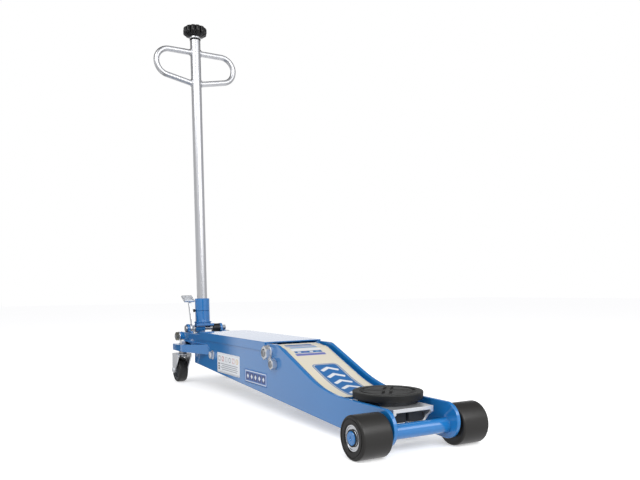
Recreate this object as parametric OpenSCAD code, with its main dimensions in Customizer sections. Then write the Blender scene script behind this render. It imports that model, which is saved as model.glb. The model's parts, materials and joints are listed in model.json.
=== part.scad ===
// Long-chassis trolley jack. Millimetres, +X to the saddle end, +Y to the jack's left, +Z up.
// Heights are above the floor. Lengths run back from the front axle, so most x values are negative;
// place() then moves everything so that the origin is under the middle of the whole jack.

/* [Chassis] */
// Width over the outsides of the two side plates
chassis_w = 150; // [130:1:185]
// Thickness of each side plate
plate_t = 8; // [6:0.5:10]
// Front axle to the rear end of the side plates' lower edge
chassis_l = 1030; // [940:5:1240]
// Height of the side plates' top edge under the cover
top_z = 168; // [160:1:190]
// Height of the side plates' top edge beside the saddle, above the axle
nose_rise = 45; // [40:1:55]
// Radius of the side plates' round nose
nose_r = 35; // [28:1:42]
// Height of the side plates' lower edge at its rear end
tail_z = 71; // [55:1:80]
// Slope of the side plates' top edge, in degrees
slope_a = 21; // [17:0.5:26]
// Front axle to the upper end of that slope
slope_x = 428; // [410:1:470]

/* [Front axle and rollers] */
// Diameter of the front rollers
wheel_d = 80; // [76:1:100]
// Width of the front rollers
wheel_w = 62; // [50:1:76]
// Diameter of the axle tube between the plates
axle_d = 28; // [26:1:34]
// Outside diameter of the roller bearings
bearing_d = 47; // [42:1:56]
// Bore of the roller bearings
bearing_bore = 25; // [20:1:25]
// Width of one bearing
bearing_w = 12; // [9:1:15]

/* [Rear casters] */
// Diameter of the caster wheels
caster_d = 80; // [65:1:82]
// Width of the caster wheels
caster_w = 30; // [24:1:34]
// Caster wheel centre behind its kingpin
trail = 32; // [26:1:34]
// Distance of each kingpin from the middle plane, beyond the side plate
kingpin_out = 14; // [14:1:22]
// Kingpin behind the side plates' lower end
kingpin_back = 76; // [76:1:90]
// Height of the caster bracket's top plate, upper face
wing_z = 126; // [124:1:134]

/* [Lifting arm] */
// Front axle to the arm's pivot
arm_x = 473; // [465:1:500]
// Height of the arm's pivot
arm_z = 147; // [143:1:152]
// Front axle to the pivot of the saddle bracket
tip_x = 86; // [80:1:95]
// Pivot of the saddle bracket below the plates' nose edge
tip_drop = 29; // [27:1:31]
// Thickness of the arm's cheeks
cheek_t = 6; // [4:0.5:8]
// Highest position of the arm above its rest, in degrees
lift_a = 66; // [50:1:66]
// Levelling link pivot ahead of the arm's pivot
link_dx = 31; // [29:1:34]
// Levelling link pivot below the arm's pivot
link_dz = 25; // [23:1:27]

/* [Saddle] */
// Diameter of the rubber pad
pad_d = 138; // [110:1:150]
// Thickness of the rubber pad
pad_t = 14.4; // [10:0.2:18]
// Front axle to the middle of the pad
pad_x = 90.5; // [88:0.5:96]
// Width of the saddle bracket
bracket_w = 92; // [84:1:98]

/* [Handle] */
// Outside diameter of the handle tube
tube_d = 33.7; // [30:0.1:36]
// Wall of the handle tube
tube_wall = 2.6; // [2:0.1:4]
// Outside diameter of the handle socket
socket_d = 48.3; // [46:0.1:50]
// Length of the handle socket
socket_l = 84; // [60:1:110]
// Handle pivot to the top of the tube
tube_top = 962; // [700:1:1100]
// Handle pivot height
pivot_z = 171; // [168:1:176]
// Backward lean of the handle at rest, in degrees
lean = 1.5; // [0:0.1:4]
// Width over the two grip loops
grip_w = 284; // [240:2:340]
// Bar diameter of the grip loops
grip_d = 18; // [14:0.5:22]
// Height between the bars at the outer end of a loop
grip_h = 86; // [76:1:110]
// Diameter of the release knob
knob_d = 78; // [60:1:90]

/* [Hidden] */

run = 0.05;             // radial running clearance of pins and shafts
gap = 0.3;              // space between faces that pass each other
side = 1;               // space beside the levelling links
out_y = chassis_w / 2;
in_y = out_y - plate_t;
axle_z = wheel_d / 2;
axle_r = axle_d / 2;
low_z = axle_z + nose_rise;
nose_z = low_z - nose_r;

// rear end, counted from the plates' lower end
tail_x = -chassis_l;
ear_r = 15;
boss_h = 7;             // height of the boss round each bracket bolt
pivot_x = tail_x - 134;
bolt_z = pivot_z - 24;
deck_z = bolt_z + ear_r;
king_x = tail_x - kingpin_back;
king_y = out_y + kingpin_out;
wing_t = 8;
wing_lip = 20;
notch_z = wing_z - wing_t - 6;

// cover
cover_t = 3;
washer_r = 18;
cover_front = -arm_x - washer_r - 1;
cover_rear = tail_x + 60;
cover_lip = 23;

// shafts and standard fasteners
arm_shaft_r = 10;
link_pin_r = 8;
tip_pin_r = 9;
shaft_r = 8;
stud_r = 8;
pump_bolt_r = 6;
nut_24 = 24;            // across flats, M16
nut_30 = 30;            // across flats, M20
pump_bolt_x = tail_x + 166;
pump_bolt_z = 109;

// arm and linkage
tip_z = low_z - tip_drop;
arm_drop = 8;
arm_top_t = 6;
tip_r = 16;
hub_r = 20;
hub_tube_r = 17;
link_t = 5;
link_r = 12;
link_y1 = in_y - side;
link_y0 = link_y1 - link_t;
cheek_y1 = link_y0 - side;
cheek_y0 = cheek_y1 - cheek_t;
link_x = -arm_x + link_dx;
link_z = arm_z - link_dz;
link_tip_x = -tip_x + link_dx;
link_tip_z = tip_z - link_dz;
arm_top_x0 = -slope_x - (60 + arm_drop + arm_top_t) * tan(slope_a / 2) - 3;
arm_top_x1 = -pad_x - pad_d / 2 - 5;

// drive lever of the arm and the ram
lever_r = 66;
lever_a = lift_a / 2;
drive_r = 8;
drive_x = -arm_x - lever_r * sin(lever_a);
drive_z = arm_z - lever_r * cos(lever_a);
ram_z = arm_z - lever_r + 7;
ram_r = 16;
cyl_r = 25;
head_w = 60;
head_x1 = drive_x + 19;
head_x0 = drive_x - 21;
slot_half = drive_r + 1.2;
cyl_front = head_x0 - 90;
pump_front = pump_bolt_x + 29;
pump_rear = tail_x - 45;
pump_z0 = caster_d + 4;
pump_z1 = 150;

// saddle
bracket_t = 7;
plate_z1 = low_z - 7;
plate_z0 = plate_z1 - bracket_t;
pad_z0 = low_z + 0.6;
spindle_r = 14;
cup_r = pad_d / 2 - 11;

// handle foot, pedal and pump levers
lug_y0 = -28;
lug_y1 = 4;
nose_drop = 36;
nose_lever_r = 10;
foot_s0 = shaft_r + 0.6;
foot_t = 7;
socket_s0 = foot_s0 + foot_t;
tube_s0 = socket_s0 + 4;
lever_z = pivot_z - nose_drop;
pump_y = (lug_y0 + lug_y1) / 2;
pedal_y0 = -47;
pedal_y1 = -31;
pedal_y = (pedal_y0 + pedal_y1) / 2;
plunger_r = 9;
small_plunger_r = 6;
plunger_bore_l = 70;
plunger_gap = 3.6;
plunger_x = pivot_x + nose_lever_r + plunger_gap;
near_ear = -56;
far_ear = 58;
ear_t = 8;

// grip loops, heights from the handle pivot
grip_r = grip_d / 2;
arc_r = grip_h / 2;
grip_top = tube_top - 41;
grip_cy = grip_w / 2 - grip_r - arc_r;
grip_cz = grip_top - arc_r;
grip_a = 11.6;
knob_s0 = tube_top + 17;
knob_h = 33;

// caster, from its kingpin
fork_top = wing_z - 31;
fork_t = 4;
fork_w = caster_w + 16;
caster_r = caster_d / 2;
caster_axle_r = 6;

// the frame's origin lies halfway between the front of the rollers and the back of the knob
reach = -pivot_x + (knob_s0 + knob_h) * sin(lean) + knob_d / 2 * cos(lean);
shift_x = (reach - wheel_d / 2) / 2;

$fn = 96;

module place() { translate([shift_x, 0, 0]) children(); }

// an outline in the x-z plane, extruded from y0 to y1
module slab(y0, y1) {
    translate([0, y1, 0])
        rotate([90, 0, 0])
            linear_extrude(y1 - y0) children();
}

// a round bar along Y
module bar_y(x, z, y0, y1, r) {
    translate([x, y0, z]) rotate([-90, 0, 0]) cylinder(r = r, h = y1 - y0);
}

// a hexagon along Y, given across its flats
module hex_y(x, z, y0, y1, flats) {
    translate([x, y0, z])
        rotate([-90, 0, 0])
            cylinder(r = flats / 2 / cos(30), h = y1 - y0, $fn = 6);
}

// mirrored copy on the other side as well
module both() {
    children();
    mirror([0, 1, 0]) children();
}

// points of the arc that rounds the corner q between p and s with radius r
function unit(v) = v / norm(v);
function fillet(p, q, s, r, n = 12) =
    let (a = unit(p - q), b = unit(s - q), half = acos(a * b) / 2)
    let (c = q + unit(a + b) * r / sin(half), p1 = q + a * r / tan(half), p2 = q + b * r / tan(half))
    let (a1 = atan2(p1[1] - c[1], p1[0] - c[0]), a2 = atan2(p2[1] - c[1], p2[0] - c[0]))
    let (turn = a2 - a1 > 180 ? a2 - a1 - 360 : a2 - a1 < -180 ? a2 - a1 + 360 : a2 - a1)
    [for (i = [0:n]) c + r * [cos(a1 + turn * i / n), sin(a1 + turn * i / n)]];

// top edge of the plates lowered by d: nose level, hollow curve, slope, rounded shoulder
foot_x = -slope_x + (top_z - low_z) / tan(slope_a);
function top_edge(x1, x0, d) =
    let (q1 = [foot_x, low_z - d], q2 = [-slope_x, top_z - d])
    concat([[x1, low_z - d]], fillet([x1, low_z - d], q1, q2, 425 - d, 16),
        fillet(q1, q2, [x0, top_z - d], 60 + d, 8), [[x0, top_z - d]]);

function low_edge(x) = nose_z - nose_r + (tail_z - nose_z + nose_r) * x / tail_x;

module plate_outline() {
    difference() {
        union() {
            polygon(concat(
                top_edge(0, cover_rear, 0),
                [[cover_rear - 20, deck_z], [pivot_x, deck_z], [pivot_x, bolt_z - ear_r],
                [pivot_x + 45, notch_z], [tail_x, notch_z], [tail_x, tail_z],
                [0, nose_z - nose_r]]));
            translate([0, nose_z]) circle(r = nose_r);
            translate([pivot_x, bolt_z]) circle(r = ear_r);
        }
        translate([0, axle_z]) circle(r = axle_r);
        translate([-arm_x, arm_z]) circle(r = arm_shaft_r);
        translate([link_x, link_z]) circle(r = stud_r);
        translate([pump_bolt_x, pump_bolt_z]) circle(r = pump_bolt_r);
        translate([pivot_x, bolt_z]) circle(r = shaft_r);
    }
}

module side_plate() {
    color("#3f83c4") place() {
        slab(in_y, out_y) plate_outline();
        difference() {
            bar_y(pivot_x, bolt_z, out_y, out_y + boss_h, 14);
            bar_y(pivot_x, bolt_z, out_y - 1, out_y + boss_h + 1, shaft_r);
        }
    }
}
module side_plate_right() { mirror([0, 1, 0]) side_plate(); }
module side_plate_left() { side_plate(); }

// turned axle: full tube diameter between the plates, bearing journals outside them
wheel_y0 = out_y + 4;
wheel_y1 = wheel_y0 + wheel_w;
journal_r = bearing_bore / 2;
module front_axle() {
    color("#3f83c4") place() {
        bar_y(0, axle_z, -out_y, out_y, axle_r);
        both() bar_y(0, axle_z, out_y, out_y + 3.7, journal_r + 4);
        both() bar_y(0, axle_z, out_y + 3.7, wheel_y1 + 1.5, journal_r);
    }
}

tie_x = -300;
tie_r = 13;
module cross_tube() {
    color("#3f83c4") place() difference() {
        bar_y(tie_x, low_edge(tie_x) + tie_r + 3, -in_y, in_y, tie_r);
        bar_y(tie_x, low_edge(tie_x) + tie_r + 3, -in_y - 1, in_y + 1, tie_r - 4);
    }
}

deck_t = 4;
deck_drop = 8;          // deck's underside below the plates' rear edge
module rear_deck() {
    color("#3f83c4") place()
        translate([pivot_x + 45, -in_y, deck_z - deck_drop])
            cube([cover_rear - pivot_x - 45, 2 * in_y, deck_t]);
}

// cross plate with a passage for the plungers, and the two ears that carry the handle shaft
brow_x = pivot_x + 42;
brow_t = 6;
passage_w = 58;
passage_drop = 14;      // passage's floor below the plungers' axis
head_up = 17;           // top of the main plunger's head above its rod's axis
module bracket_ear(y0) {
    slab(y0, y0 + ear_t) difference() {
        union() {
            translate([pivot_x, pivot_z]) circle(r = ear_r);
            translate([pivot_x - ear_r, bolt_z - 12]) square([2 * ear_r, pivot_z - bolt_z + 12]);
            translate([pivot_x, bolt_z - 12]) square([brow_x - pivot_x, 29]);
        }
        translate([pivot_x, pivot_z]) circle(r = shaft_r);
        translate([pivot_x, bolt_z]) circle(r = shaft_r);
    }
}
module handle_bracket() {
    color("#2f6fb0") place() {
        bracket_ear(near_ear);
        bracket_ear(far_ear);
        difference() {
            translate([brow_x, -in_y, notch_z + 2])
                cube([brow_t, 2 * in_y, deck_z - deck_drop - notch_z - 2]);
            translate([brow_x - 1, near_ear + ear_t, lever_z - passage_drop])
                cube([brow_t + 2, passage_w, deck_z - lever_z + passage_drop]);
        }
    }
}

module bracket_bolts() {
    color("#9aa0a6") place() {
        bar_y(pivot_x, bolt_z, -out_y - boss_h - 14, near_ear + ear_t, shaft_r);
        bar_y(pivot_x, bolt_z, far_ear, out_y + boss_h + 14, shaft_r);
        difference() {
            bar_y(pivot_x, bolt_z, -in_y, near_ear, 12);
            bar_y(pivot_x, bolt_z, -in_y - 1, near_ear + 1, shaft_r);
        }
    }
}
module ring_y(x, z, y0, y1, r, bore) {
    difference() {
        bar_y(x, z, y0, y1, r);
        bar_y(x, z, y0 - 1, y1 + 1, bore);
    }
}
module nut_y(x, z, y0, y1, flats, bore) {
    difference() {
        intersection() {
            hex_y(x, z, y0, y1, flats);
            bar_y(x, z, y0, y1, flats * 0.56);
        }
        bar_y(x, z, y0 - 1, y1 + 1, bore);
    }
}
module bracket_washers() {
    color("#d5d8db") place() both()
        ring_y(pivot_x, bolt_z, out_y + boss_h, out_y + boss_h + 3, 15, shaft_r);
}
module bracket_nuts() {
    color("#4a4d50") place() both()
        nut_y(pivot_x, bolt_z, out_y + boss_h + 3, out_y + boss_h + 12, nut_24, shaft_r);
}

// outrigger: a shelf that flares out from the side plate and rises to its front, with a lip all round
wing_front = tail_x + 130;
wing_out = king_y + 25;
wing_rear = king_x - 44;
wing_knee = king_x + 34;
wing_rise = 11;
wing_wall = 6;
module wing_plan(inset) {
    p = [wing_front - 3 * inset, out_y];
    q = [king_x + 62 - inset, wing_out - inset];
    t = [wing_rear + inset, wing_out - inset];
    v = [wing_rear + inset, out_y];
    polygon(concat([p], fillet(p, q, t, 60 - inset, 8), fillet(q, t, v, 20 - inset, 8), [v]));
}
module wing_side(down) {
    polygon([[wing_rear - 1, wing_z - wing_lip - down], [wing_rear - 1, wing_z - down],
        [wing_knee, wing_z - down], [wing_front + 1, wing_z + wing_rise - down],
        [wing_front + 1, wing_z - wing_lip - down]]);
}
module outrigger() {
    color("#3f83c4") place() difference() {
        intersection() {
            linear_extrude(2 * wing_z) wing_plan(0);
            slab(out_y, wing_out) wing_side(0);
        }
        intersection() {
            linear_extrude(2 * wing_z) wing_plan(wing_wall);
            slab(out_y - 1, wing_out) wing_side(wing_t);
        }
        translate([king_x, king_y, 0]) cylinder(r = shaft_r, h = 2 * wing_z);
    }
}
module outrigger_right() { mirror([0, 1, 0]) outrigger(); }
module outrigger_left() { outrigger(); }

module kingpins() {
    color("#9aa0a6") place() both() translate([king_x, king_y, 0]) {
        translate([0, 0, fork_top - fork_t - gap - 7]) cylinder(r = 12, h = 7);
        translate([0, 0, fork_top - fork_t - gap]) cylinder(r = shaft_r, h = 40);
        difference() {
            translate([0, 0, fork_top + gap]) cylinder(r = 13, h = wing_z - wing_t - fork_top - gap);
            translate([0, 0, fork_top]) cylinder(r = shaft_r, h = 40);
        }
    }
}
module kingpin_nuts() {
    color("#d5d8db") place() both() translate([king_x, king_y, wing_z]) difference() {
        union() {
            cylinder(r = 12, h = 2);
            translate([0, 0, 2]) cylinder(r = 10.5, h = 8, $fn = 6);
            intersection() {
                translate([0, 0, 6]) sphere(r = 9.5);
                translate([-12, -12, 8]) cube([24, 24, 12]);
            }
        }
        translate([0, 0, -1]) cylinder(r = shaft_r, h = fork_top - fork_t - gap + 41 - wing_z);
    }
}

module top_cover() {
    color("#8fb0d6") place() difference() {
        translate([cover_rear, -out_y - cover_t, top_z + cover_t - cover_lip])
            cube([cover_front - cover_rear, 2 * (out_y + cover_t), cover_lip]);
        translate([cover_rear - 1, -out_y, top_z - cover_lip])
            cube([cover_front - cover_rear + 2, 2 * out_y, cover_lip]);
    }
}

// hydraulic unit under the cover
pump_half = 52;
module pump_body() {
    color("#55585c") place() {
        difference() {
            translate([pump_rear, -pump_half, pump_z0])
                cube([pump_front - pump_rear, 2 * pump_half, pump_z1 - pump_z0]);
            translate([pump_rear - 1, pump_y, lever_z])
                rotate([0, 90, 0]) cylinder(r = plunger_r + run, h = plunger_bore_l);
            translate([pump_rear - 1, pedal_y, lever_z])
                rotate([0, 90, 0]) cylinder(r = small_plunger_r + run, h = plunger_bore_l);
            both() bar_y(pump_bolt_x, pump_bolt_z, pump_half - 20, pump_half + 1, pump_bolt_r);
        }
        both() ring_y(pump_bolt_x, pump_bolt_z, pump_half, in_y, 15, pump_bolt_r);
    }
}
module pump_bolts() {
    color("#c9ccd0") place() both() {
        bar_y(pump_bolt_x, pump_bolt_z, pump_half - 18, out_y, pump_bolt_r);
        bar_y(pump_bolt_x, pump_bolt_z, out_y, out_y + 2.5, 13);
        intersection() {
            hex_y(pump_bolt_x, pump_bolt_z, out_y + 2.5, out_y + 10, 19);
            bar_y(pump_bolt_x, pump_bolt_z, out_y + 2.5, out_y + 10, 10.6);
        }
    }
}
module lift_cylinder() {
    color("#c3c7cb") place() difference() {
        translate([pump_front, 0, ram_z]) rotate([0, 90, 0])
            cylinder(r = cyl_r, h = cyl_front - pump_front);
        translate([cyl_front - 130, 0, ram_z]) rotate([0, 90, 0])
            cylinder(r = ram_r + run, h = 131);
    }
}

module arm_shaft() {
    color("#9aa0a6") place() bar_y(-arm_x, arm_z, -out_y - 17, out_y + 17, arm_shaft_r);
}
module arm_washers() {
    color("#d5d8db") place() both() ring_y(-arm_x, arm_z, out_y, out_y + 4, washer_r, arm_shaft_r);
}
module arm_nuts() {
    color("#d5d8db") place() both()
        nut_y(-arm_x, arm_z, out_y + 4, out_y + 15, nut_30, arm_shaft_r);
}
module link_studs() {
    color("#9aa0a6") place() both() bar_y(link_x, link_z, link_y0 - 0.4, out_y + 14, stud_r);
}
module link_nuts() {
    color("#d5d8db") place() both()
        nut_y(link_x, link_z, out_y, out_y + 12, nut_24, stud_r);
}

// shaft that carries the pedal and the handle foot
module handle_shaft() {
    color("#3a3d40") place() {
        bar_y(pivot_x, pivot_z, near_ear - 3, far_ear + ear_t + 9, shaft_r);
        hex_y(pivot_x, pivot_z, far_ear + ear_t, far_ear + ear_t + 13, 17);
        bar_y(pivot_x, pivot_z, near_ear - 5, near_ear, 11);
    }
}
spacer_l = 25;
module shaft_spacer() {
    color("#2b2d2f") place()
        ring_y(pivot_x, pivot_z, far_ear - spacer_l, far_ear, 14, shaft_r);
}

// blank plates on the right side plate
label_t = 0.4;
big_label_l = 168;
big_label_h = 57;
small_label_l = 138;
small_label_h = 35;
module label(from_pivot, z, long, high) {
    translate([-arm_x - from_pivot, -out_y - label_t, z]) cube([long, label_t, high]);
}
module labels() {
    color("#e9edf2") place() {
        label(355, tail_z - 7, big_label_l, big_label_h);
        label(153, tail_z - 12, small_label_l, small_label_h);
    }
}

// front rollers
module roller() {
    color("#26282a") place() difference() {
        translate([0, wheel_y0, axle_z]) rotate([-90, 0, 0]) rotate_extrude()
            polygon(concat([[18, 0]],
                fillet([18, 0], [axle_z, 0], [axle_z, 9], 2.3, 6),
                fillet([axle_z, 9], [axle_z, wheel_w], [18, wheel_w], 2.3, 6), [[18, wheel_w]]));
        bar_y(0, axle_z, wheel_y1 - bearing_w - 2, wheel_y1 + 1, bearing_d / 2);
        bar_y(0, axle_z, wheel_y0 - 1, wheel_y0 + bearing_w + 1, bearing_d / 2);
        difference() {
            bar_y(0, axle_z, wheel_y1 - 1.2, wheel_y1 + 1, axle_z - 5);
            bar_y(0, axle_z, wheel_y1 - 2, wheel_y1 + 2, axle_z - 7.5);
        }
    }
}
module roller_right() { mirror([0, 1, 0]) roller(); }
module roller_left() { roller(); }
module roller_bearings() {
    color("#c9ccd0") place() {
        ring_y(0, axle_z, wheel_y1 - bearing_w - 2, wheel_y1 - 2, bearing_d / 2, journal_r + run);
        ring_y(0, axle_z, wheel_y0 + 1, wheel_y0 + bearing_w + 1, bearing_d / 2, journal_r + run);
    }
}
module roller_bearings_right() { mirror([0, 1, 0]) roller_bearings(); }
module roller_bearings_left() { roller_bearings(); }
module axle_circlips() {
    color("#3a3d40") place() both()
        ring_y(0, axle_z, wheel_y1 - 1.6, wheel_y1 - 0.4, journal_r + 3, journal_r);
}

// casters, drawn about the kingpin with the wheel trailing to the rear
module at_king() { place() translate([king_x, king_y, 0]) children(); }
fork_front = 18;
fork_rear = -40;
fork_eye = 11;
module fork_plate() {
    polygon(concat([[fork_front, fork_top], [fork_front, fork_top - 12]],
        [for (a = [-30:-15:-180]) [-trail + fork_eye * cos(a), caster_r + fork_eye * sin(a)]],
        [[fork_rear - 1, fork_top - 12], [fork_rear, fork_top]]));
}
module caster_fork() {
    color("#cfd3d7") at_king() difference() {
        union() {
            translate([fork_rear, -fork_w / 2, fork_top - fork_t])
                cube([fork_front - fork_rear, fork_w, fork_t]);
            cylinder_at(fork_top - fork_t, fork_top, 21);
            both() slab(fork_w / 2 - fork_t, fork_w / 2) fork_plate();
        }
        cylinder_at(fork_top - 20, fork_top + 20, shaft_r + run);
        bar_y(-trail, caster_r, -fork_w, fork_w, caster_axle_r);
    }
}
module cylinder_at(z0, z1, r) { translate([0, 0, z0]) cylinder(r = r, h = z1 - z0); }
module caster_fork_right() { mirror([0, 1, 0]) caster_fork(); }
module caster_fork_left() { caster_fork(); }
module caster_axle() {
    color("#d5d8db") at_king() {
        bar_y(-trail, caster_r, -fork_w / 2 - 1, fork_w / 2 + 1, caster_axle_r);
        both() hex_y(-trail, caster_r, fork_w / 2, fork_w / 2 + 3, 13);
    }
}
module caster_axle_right() { mirror([0, 1, 0]) caster_axle(); }
module caster_axle_left() { caster_axle(); }
module caster_wheel() {
    color("#55585c") at_king() translate([-trail, 0, caster_r]) rotate([-90, 0, 0])
        rotate_extrude() difference() {
            union() {
                translate([0, -caster_w / 2 - 3]) square([12, caster_w + 6]);
                translate([0, -caster_w / 2 + 2]) square([caster_r - 9, caster_w - 4]);
            }
            translate([0, -caster_w]) square([caster_axle_r + run, 2 * caster_w]);
            for (s = [-1, 1]) translate([(12 + caster_r - 14) / 2 + 1, s * caster_w / 2])
                square([caster_r - 27, 12], center = true);
        }
}
module caster_wheel_right() { mirror([0, 1, 0]) caster_wheel(); }
module caster_wheel_left() { caster_wheel(); }
module caster_tyre() {
    color("#26282a") at_king() translate([-trail, 0, caster_r]) rotate([-90, 0, 0])
        rotate_extrude()
            polygon(concat([[caster_r - 9, -caster_w / 2]],
                fillet([caster_r - 9, -caster_w / 2], [caster_r, -caster_w / 2], [caster_r, 0], 5, 6),
                fillet([caster_r, 0], [caster_r, caster_w / 2], [caster_r - 9, caster_w / 2], 5, 6),
                [[caster_r - 9, caster_w / 2]]));
}
module caster_tyre_right() { mirror([0, 1, 0]) caster_tyre(); }
module caster_tyre_left() { caster_tyre(); }

// lifting arm
module cheek_outline() {
    difference() {
        union() {
            polygon(concat(top_edge(-tip_x, arm_top_x0, arm_drop + arm_top_t),
                [[-arm_x + 12, arm_z - 16], [-slope_x + 76, low_z - 9], [foot_x - 20, tip_z - 8],
                [-tip_x, tip_z - tip_r]]));
            translate([-tip_x, tip_z]) circle(r = tip_r);
            translate([-arm_x, arm_z]) circle(r = hub_r);
        }
        translate([-arm_x, arm_z]) circle(r = hub_tube_r);
        translate([-tip_x, tip_z]) circle(r = tip_pin_r);
    }
}
module arm_cheeks() { color("#2f6fb0") place() both() slab(cheek_y0, cheek_y1) cheek_outline(); }
module arm_top() {
    up = top_edge(-tip_x, arm_top_x0, arm_drop);
    down = top_edge(-tip_x, arm_top_x0, arm_drop + arm_top_t);
    color("#eae4d2") place() slab(-cheek_y1, cheek_y1) difference() {
        polygon(concat(up, [for (i = [len(down) - 1:-1:0]) down[i]]));
        translate([arm_top_x1, 0]) square(200);
    }
}
// hub tube with the two drive levers under it
module arm_hub() {
    color("#2f6fb0") place() difference() {
        union() {
            bar_y(-arm_x, arm_z, -cheek_y1, cheek_y1, hub_tube_r);
            both() slab(head_w / 2 + 3, head_w / 2 + 11) {
                translate([drive_x, drive_z]) circle(r = 15);
                translate([-arm_x, arm_z]) rotate(-90 - lever_a) translate([0, -15]) square([lever_r, 30]);
            }
        }
        bar_y(-arm_x, arm_z, -cheek_y1 - 1, cheek_y1 + 1, arm_shaft_r + run);
        bar_y(drive_x, drive_z, -60, 60, drive_r);
    }
}
// tube between the cheeks' noses, under the rising part of the top plate
tie_tube_x = min(arm_top_x1 - 22, foot_x + 25.4);
module arm_tie_tube() {
    color("#2f6fb0") place() ring_y(tie_tube_x, tip_z + 9, -cheek_y0, cheek_y0, 9, 6);
}
module arm_tip_pin() {
    color("#9aa0a6") place() bar_y(-tip_x, tip_z, -cheek_y1 - 0.6, cheek_y1 + 0.6, tip_pin_r);
}
module tip_spacers() {
    color("#3a3d40") place() both()
        ring_y(-tip_x, tip_z, 1.5, bracket_w / 2 - bracket_t - gap, 12, tip_pin_r);
}
module drive_pin() {
    color("#9aa0a6") place() bar_y(drive_x, drive_z, -head_w / 2 - 14, head_w / 2 + 14, drive_r);
}

// saddle bracket, kept level by the links
module bracket_side() {
    difference() {
        union() {
            polygon([[-tip_x - 20, plate_z1], [-tip_x - 18, tip_z - 6], [link_tip_x - 11, link_tip_z - 4],
                [link_tip_x + 12, link_tip_z + 1], [-22, low_z - 27], [-8, plate_z0 - 4],
                [-8, plate_z1]]);
            translate([-tip_x, tip_z]) circle(r = 17);
            translate([link_tip_x, link_tip_z]) circle(r = link_r);
        }
        translate([-tip_x, tip_z]) circle(r = tip_pin_r + run);
        translate([link_tip_x, link_tip_z]) circle(r = link_pin_r);
    }
}
module saddle_bracket() {
    color("#d5d8db") place() {
        difference() {
            translate([-146, -bracket_w / 2, plate_z0]) cube([138, bracket_w, bracket_t]);
            translate([-pad_x, 0, plate_z0 - 1]) cylinder(r = spindle_r + run, h = bracket_t + 2);
        }
        both() slab(bracket_w / 2 - bracket_t, bracket_w / 2) bracket_side();
    }
}
module link_pins() {
    color("#9aa0a6") place() both() {
        bar_y(link_tip_x, link_tip_z, bracket_w / 2 - bracket_t - 1, in_y - 0.4, link_pin_r);
        bar_y(link_tip_x, link_tip_z, bracket_w / 2 - bracket_t - 4, bracket_w / 2 - bracket_t, 11);
    }
}
module levelling_links() {
    dir = atan2(link_tip_z - link_z, link_tip_x - link_x);
    long = norm([link_tip_x - link_x, link_tip_z - link_z]);
    color("#2f6fb0") place() both() slab(link_y0, link_y1) difference() {
        union() {
            translate([link_x, link_z]) circle(r = link_r);
            translate([link_tip_x, link_tip_z]) circle(r = link_r);
            translate([link_x, link_z]) rotate(dir) translate([0, -link_r + 2])
                square([long, 2 * link_r - 4]);
        }
        translate([link_x, link_z]) circle(r = stud_r + run);
        translate([link_tip_x, link_tip_z]) circle(r = link_pin_r + run);
    }
}

// steel cup with its spindle, and the ribbed rubber pad on it
module saddle_cup() {
    color("#2b2d2f") place() translate([-pad_x, 0, 0]) {
        cylinder_at(plate_z1 + gap, pad_z0, cup_r);
        cylinder_at(plate_z0 - 2.4, plate_z1 + gap, spindle_r);
    }
}
module saddle_circlip() {
    color("#3a3d40") place() translate([-pad_x, 0, 0]) difference() {
        cylinder_at(plate_z0 - 2, plate_z0 - gap, spindle_r + 3);
        cylinder_at(plate_z0 - 3, plate_z0 + 1, spindle_r);
    }
}
rim_w = 9;
rib_w = 7;
module saddle_pad() {
    color("#1f2021") place() translate([-pad_x, 0, 0]) {
        cylinder_at(pad_z0, pad_z0 + pad_t - 2.5, pad_d / 2);
        difference() {
            cylinder_at(pad_z0 + pad_t - 2.5, pad_z0 + pad_t, pad_d / 2);
            cylinder_at(pad_z0 + pad_t - 2.5, pad_z0 + pad_t + 1, pad_d / 2 - rim_w);
        }
        intersection() {
            cylinder_at(pad_z0 + pad_t - 2.5, pad_z0 + pad_t, pad_d / 2 - rim_w / 2);
            union() {
                for (a = [0, 90]) rotate(a)
                    translate([-pad_d, -rib_w / 2, 0]) cube([2 * pad_d, rib_w, 200]);
                difference() {
                    cylinder_at(0, 200, pad_d / 2 - rim_w - 5);
                    for (a = [0, 90]) rotate(a)
                        translate([-pad_d, -rib_w / 2 - 4, -1]) cube([2 * pad_d, rib_w + 8, 300]);
                }
            }
        }
    }
}

// ram with its slotted head round the drive pin
module ram() {
    color("#d9dcdf") place() difference() {
        union() {
            translate([cyl_front - 112, 0, ram_z]) rotate([0, 90, 0])
                cylinder(r = ram_r, h = head_x0 - cyl_front + 114);
            translate([head_x0, -head_w / 2, ram_z - 25]) cube([head_x1 - head_x0, head_w, 50]);
        }
        translate([drive_x - slot_half, -head_w, ram_z - 16]) cube([2 * slot_half, 2 * head_w, 31]);
    }
}

// pump plungers, each with a flat head for its lever
module plunger(y, head_y0, head_y1, z0, z1, r) {
    translate([plunger_x, head_y0, z0]) cube([5, head_y1 - head_y0, z1 - z0]);
    translate([plunger_x + 5, y, lever_z]) rotate([0, 90, 0])
        cylinder(r = r, h = pump_rear - plunger_x - 5 + 22);
}
module pump_plunger() {
    color("#c9ccd0") place()
        plunger(pump_y, lug_y0 + 1, lug_y1 - 1, lever_z - 12, lever_z + head_up, plunger_r);
}
module pedal_plunger() {
    color("#c9ccd0") place()
        plunger(pedal_y, pedal_y0 + 1, pedal_y1 - 1, lever_z - 12, lever_z + 14, small_plunger_r);
}

// lever below the handle shaft, with a round nose that pushes a plunger
module lever_nose() {
    translate([pivot_x, lever_z]) circle(r = nose_lever_r);
    translate([pivot_x - nose_lever_r, lever_z]) square([2 * nose_lever_r, nose_drop]);
}

module at_handle() { place() translate([pivot_x, 0, pivot_z]) rotate([0, -lean, 0]) children(); }

groove_s0 = socket_s0 + socket_l / 2;
groove_w = 1.6;
foot_l = 54;
foot_w = 60;
lug_r = 15;

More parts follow.
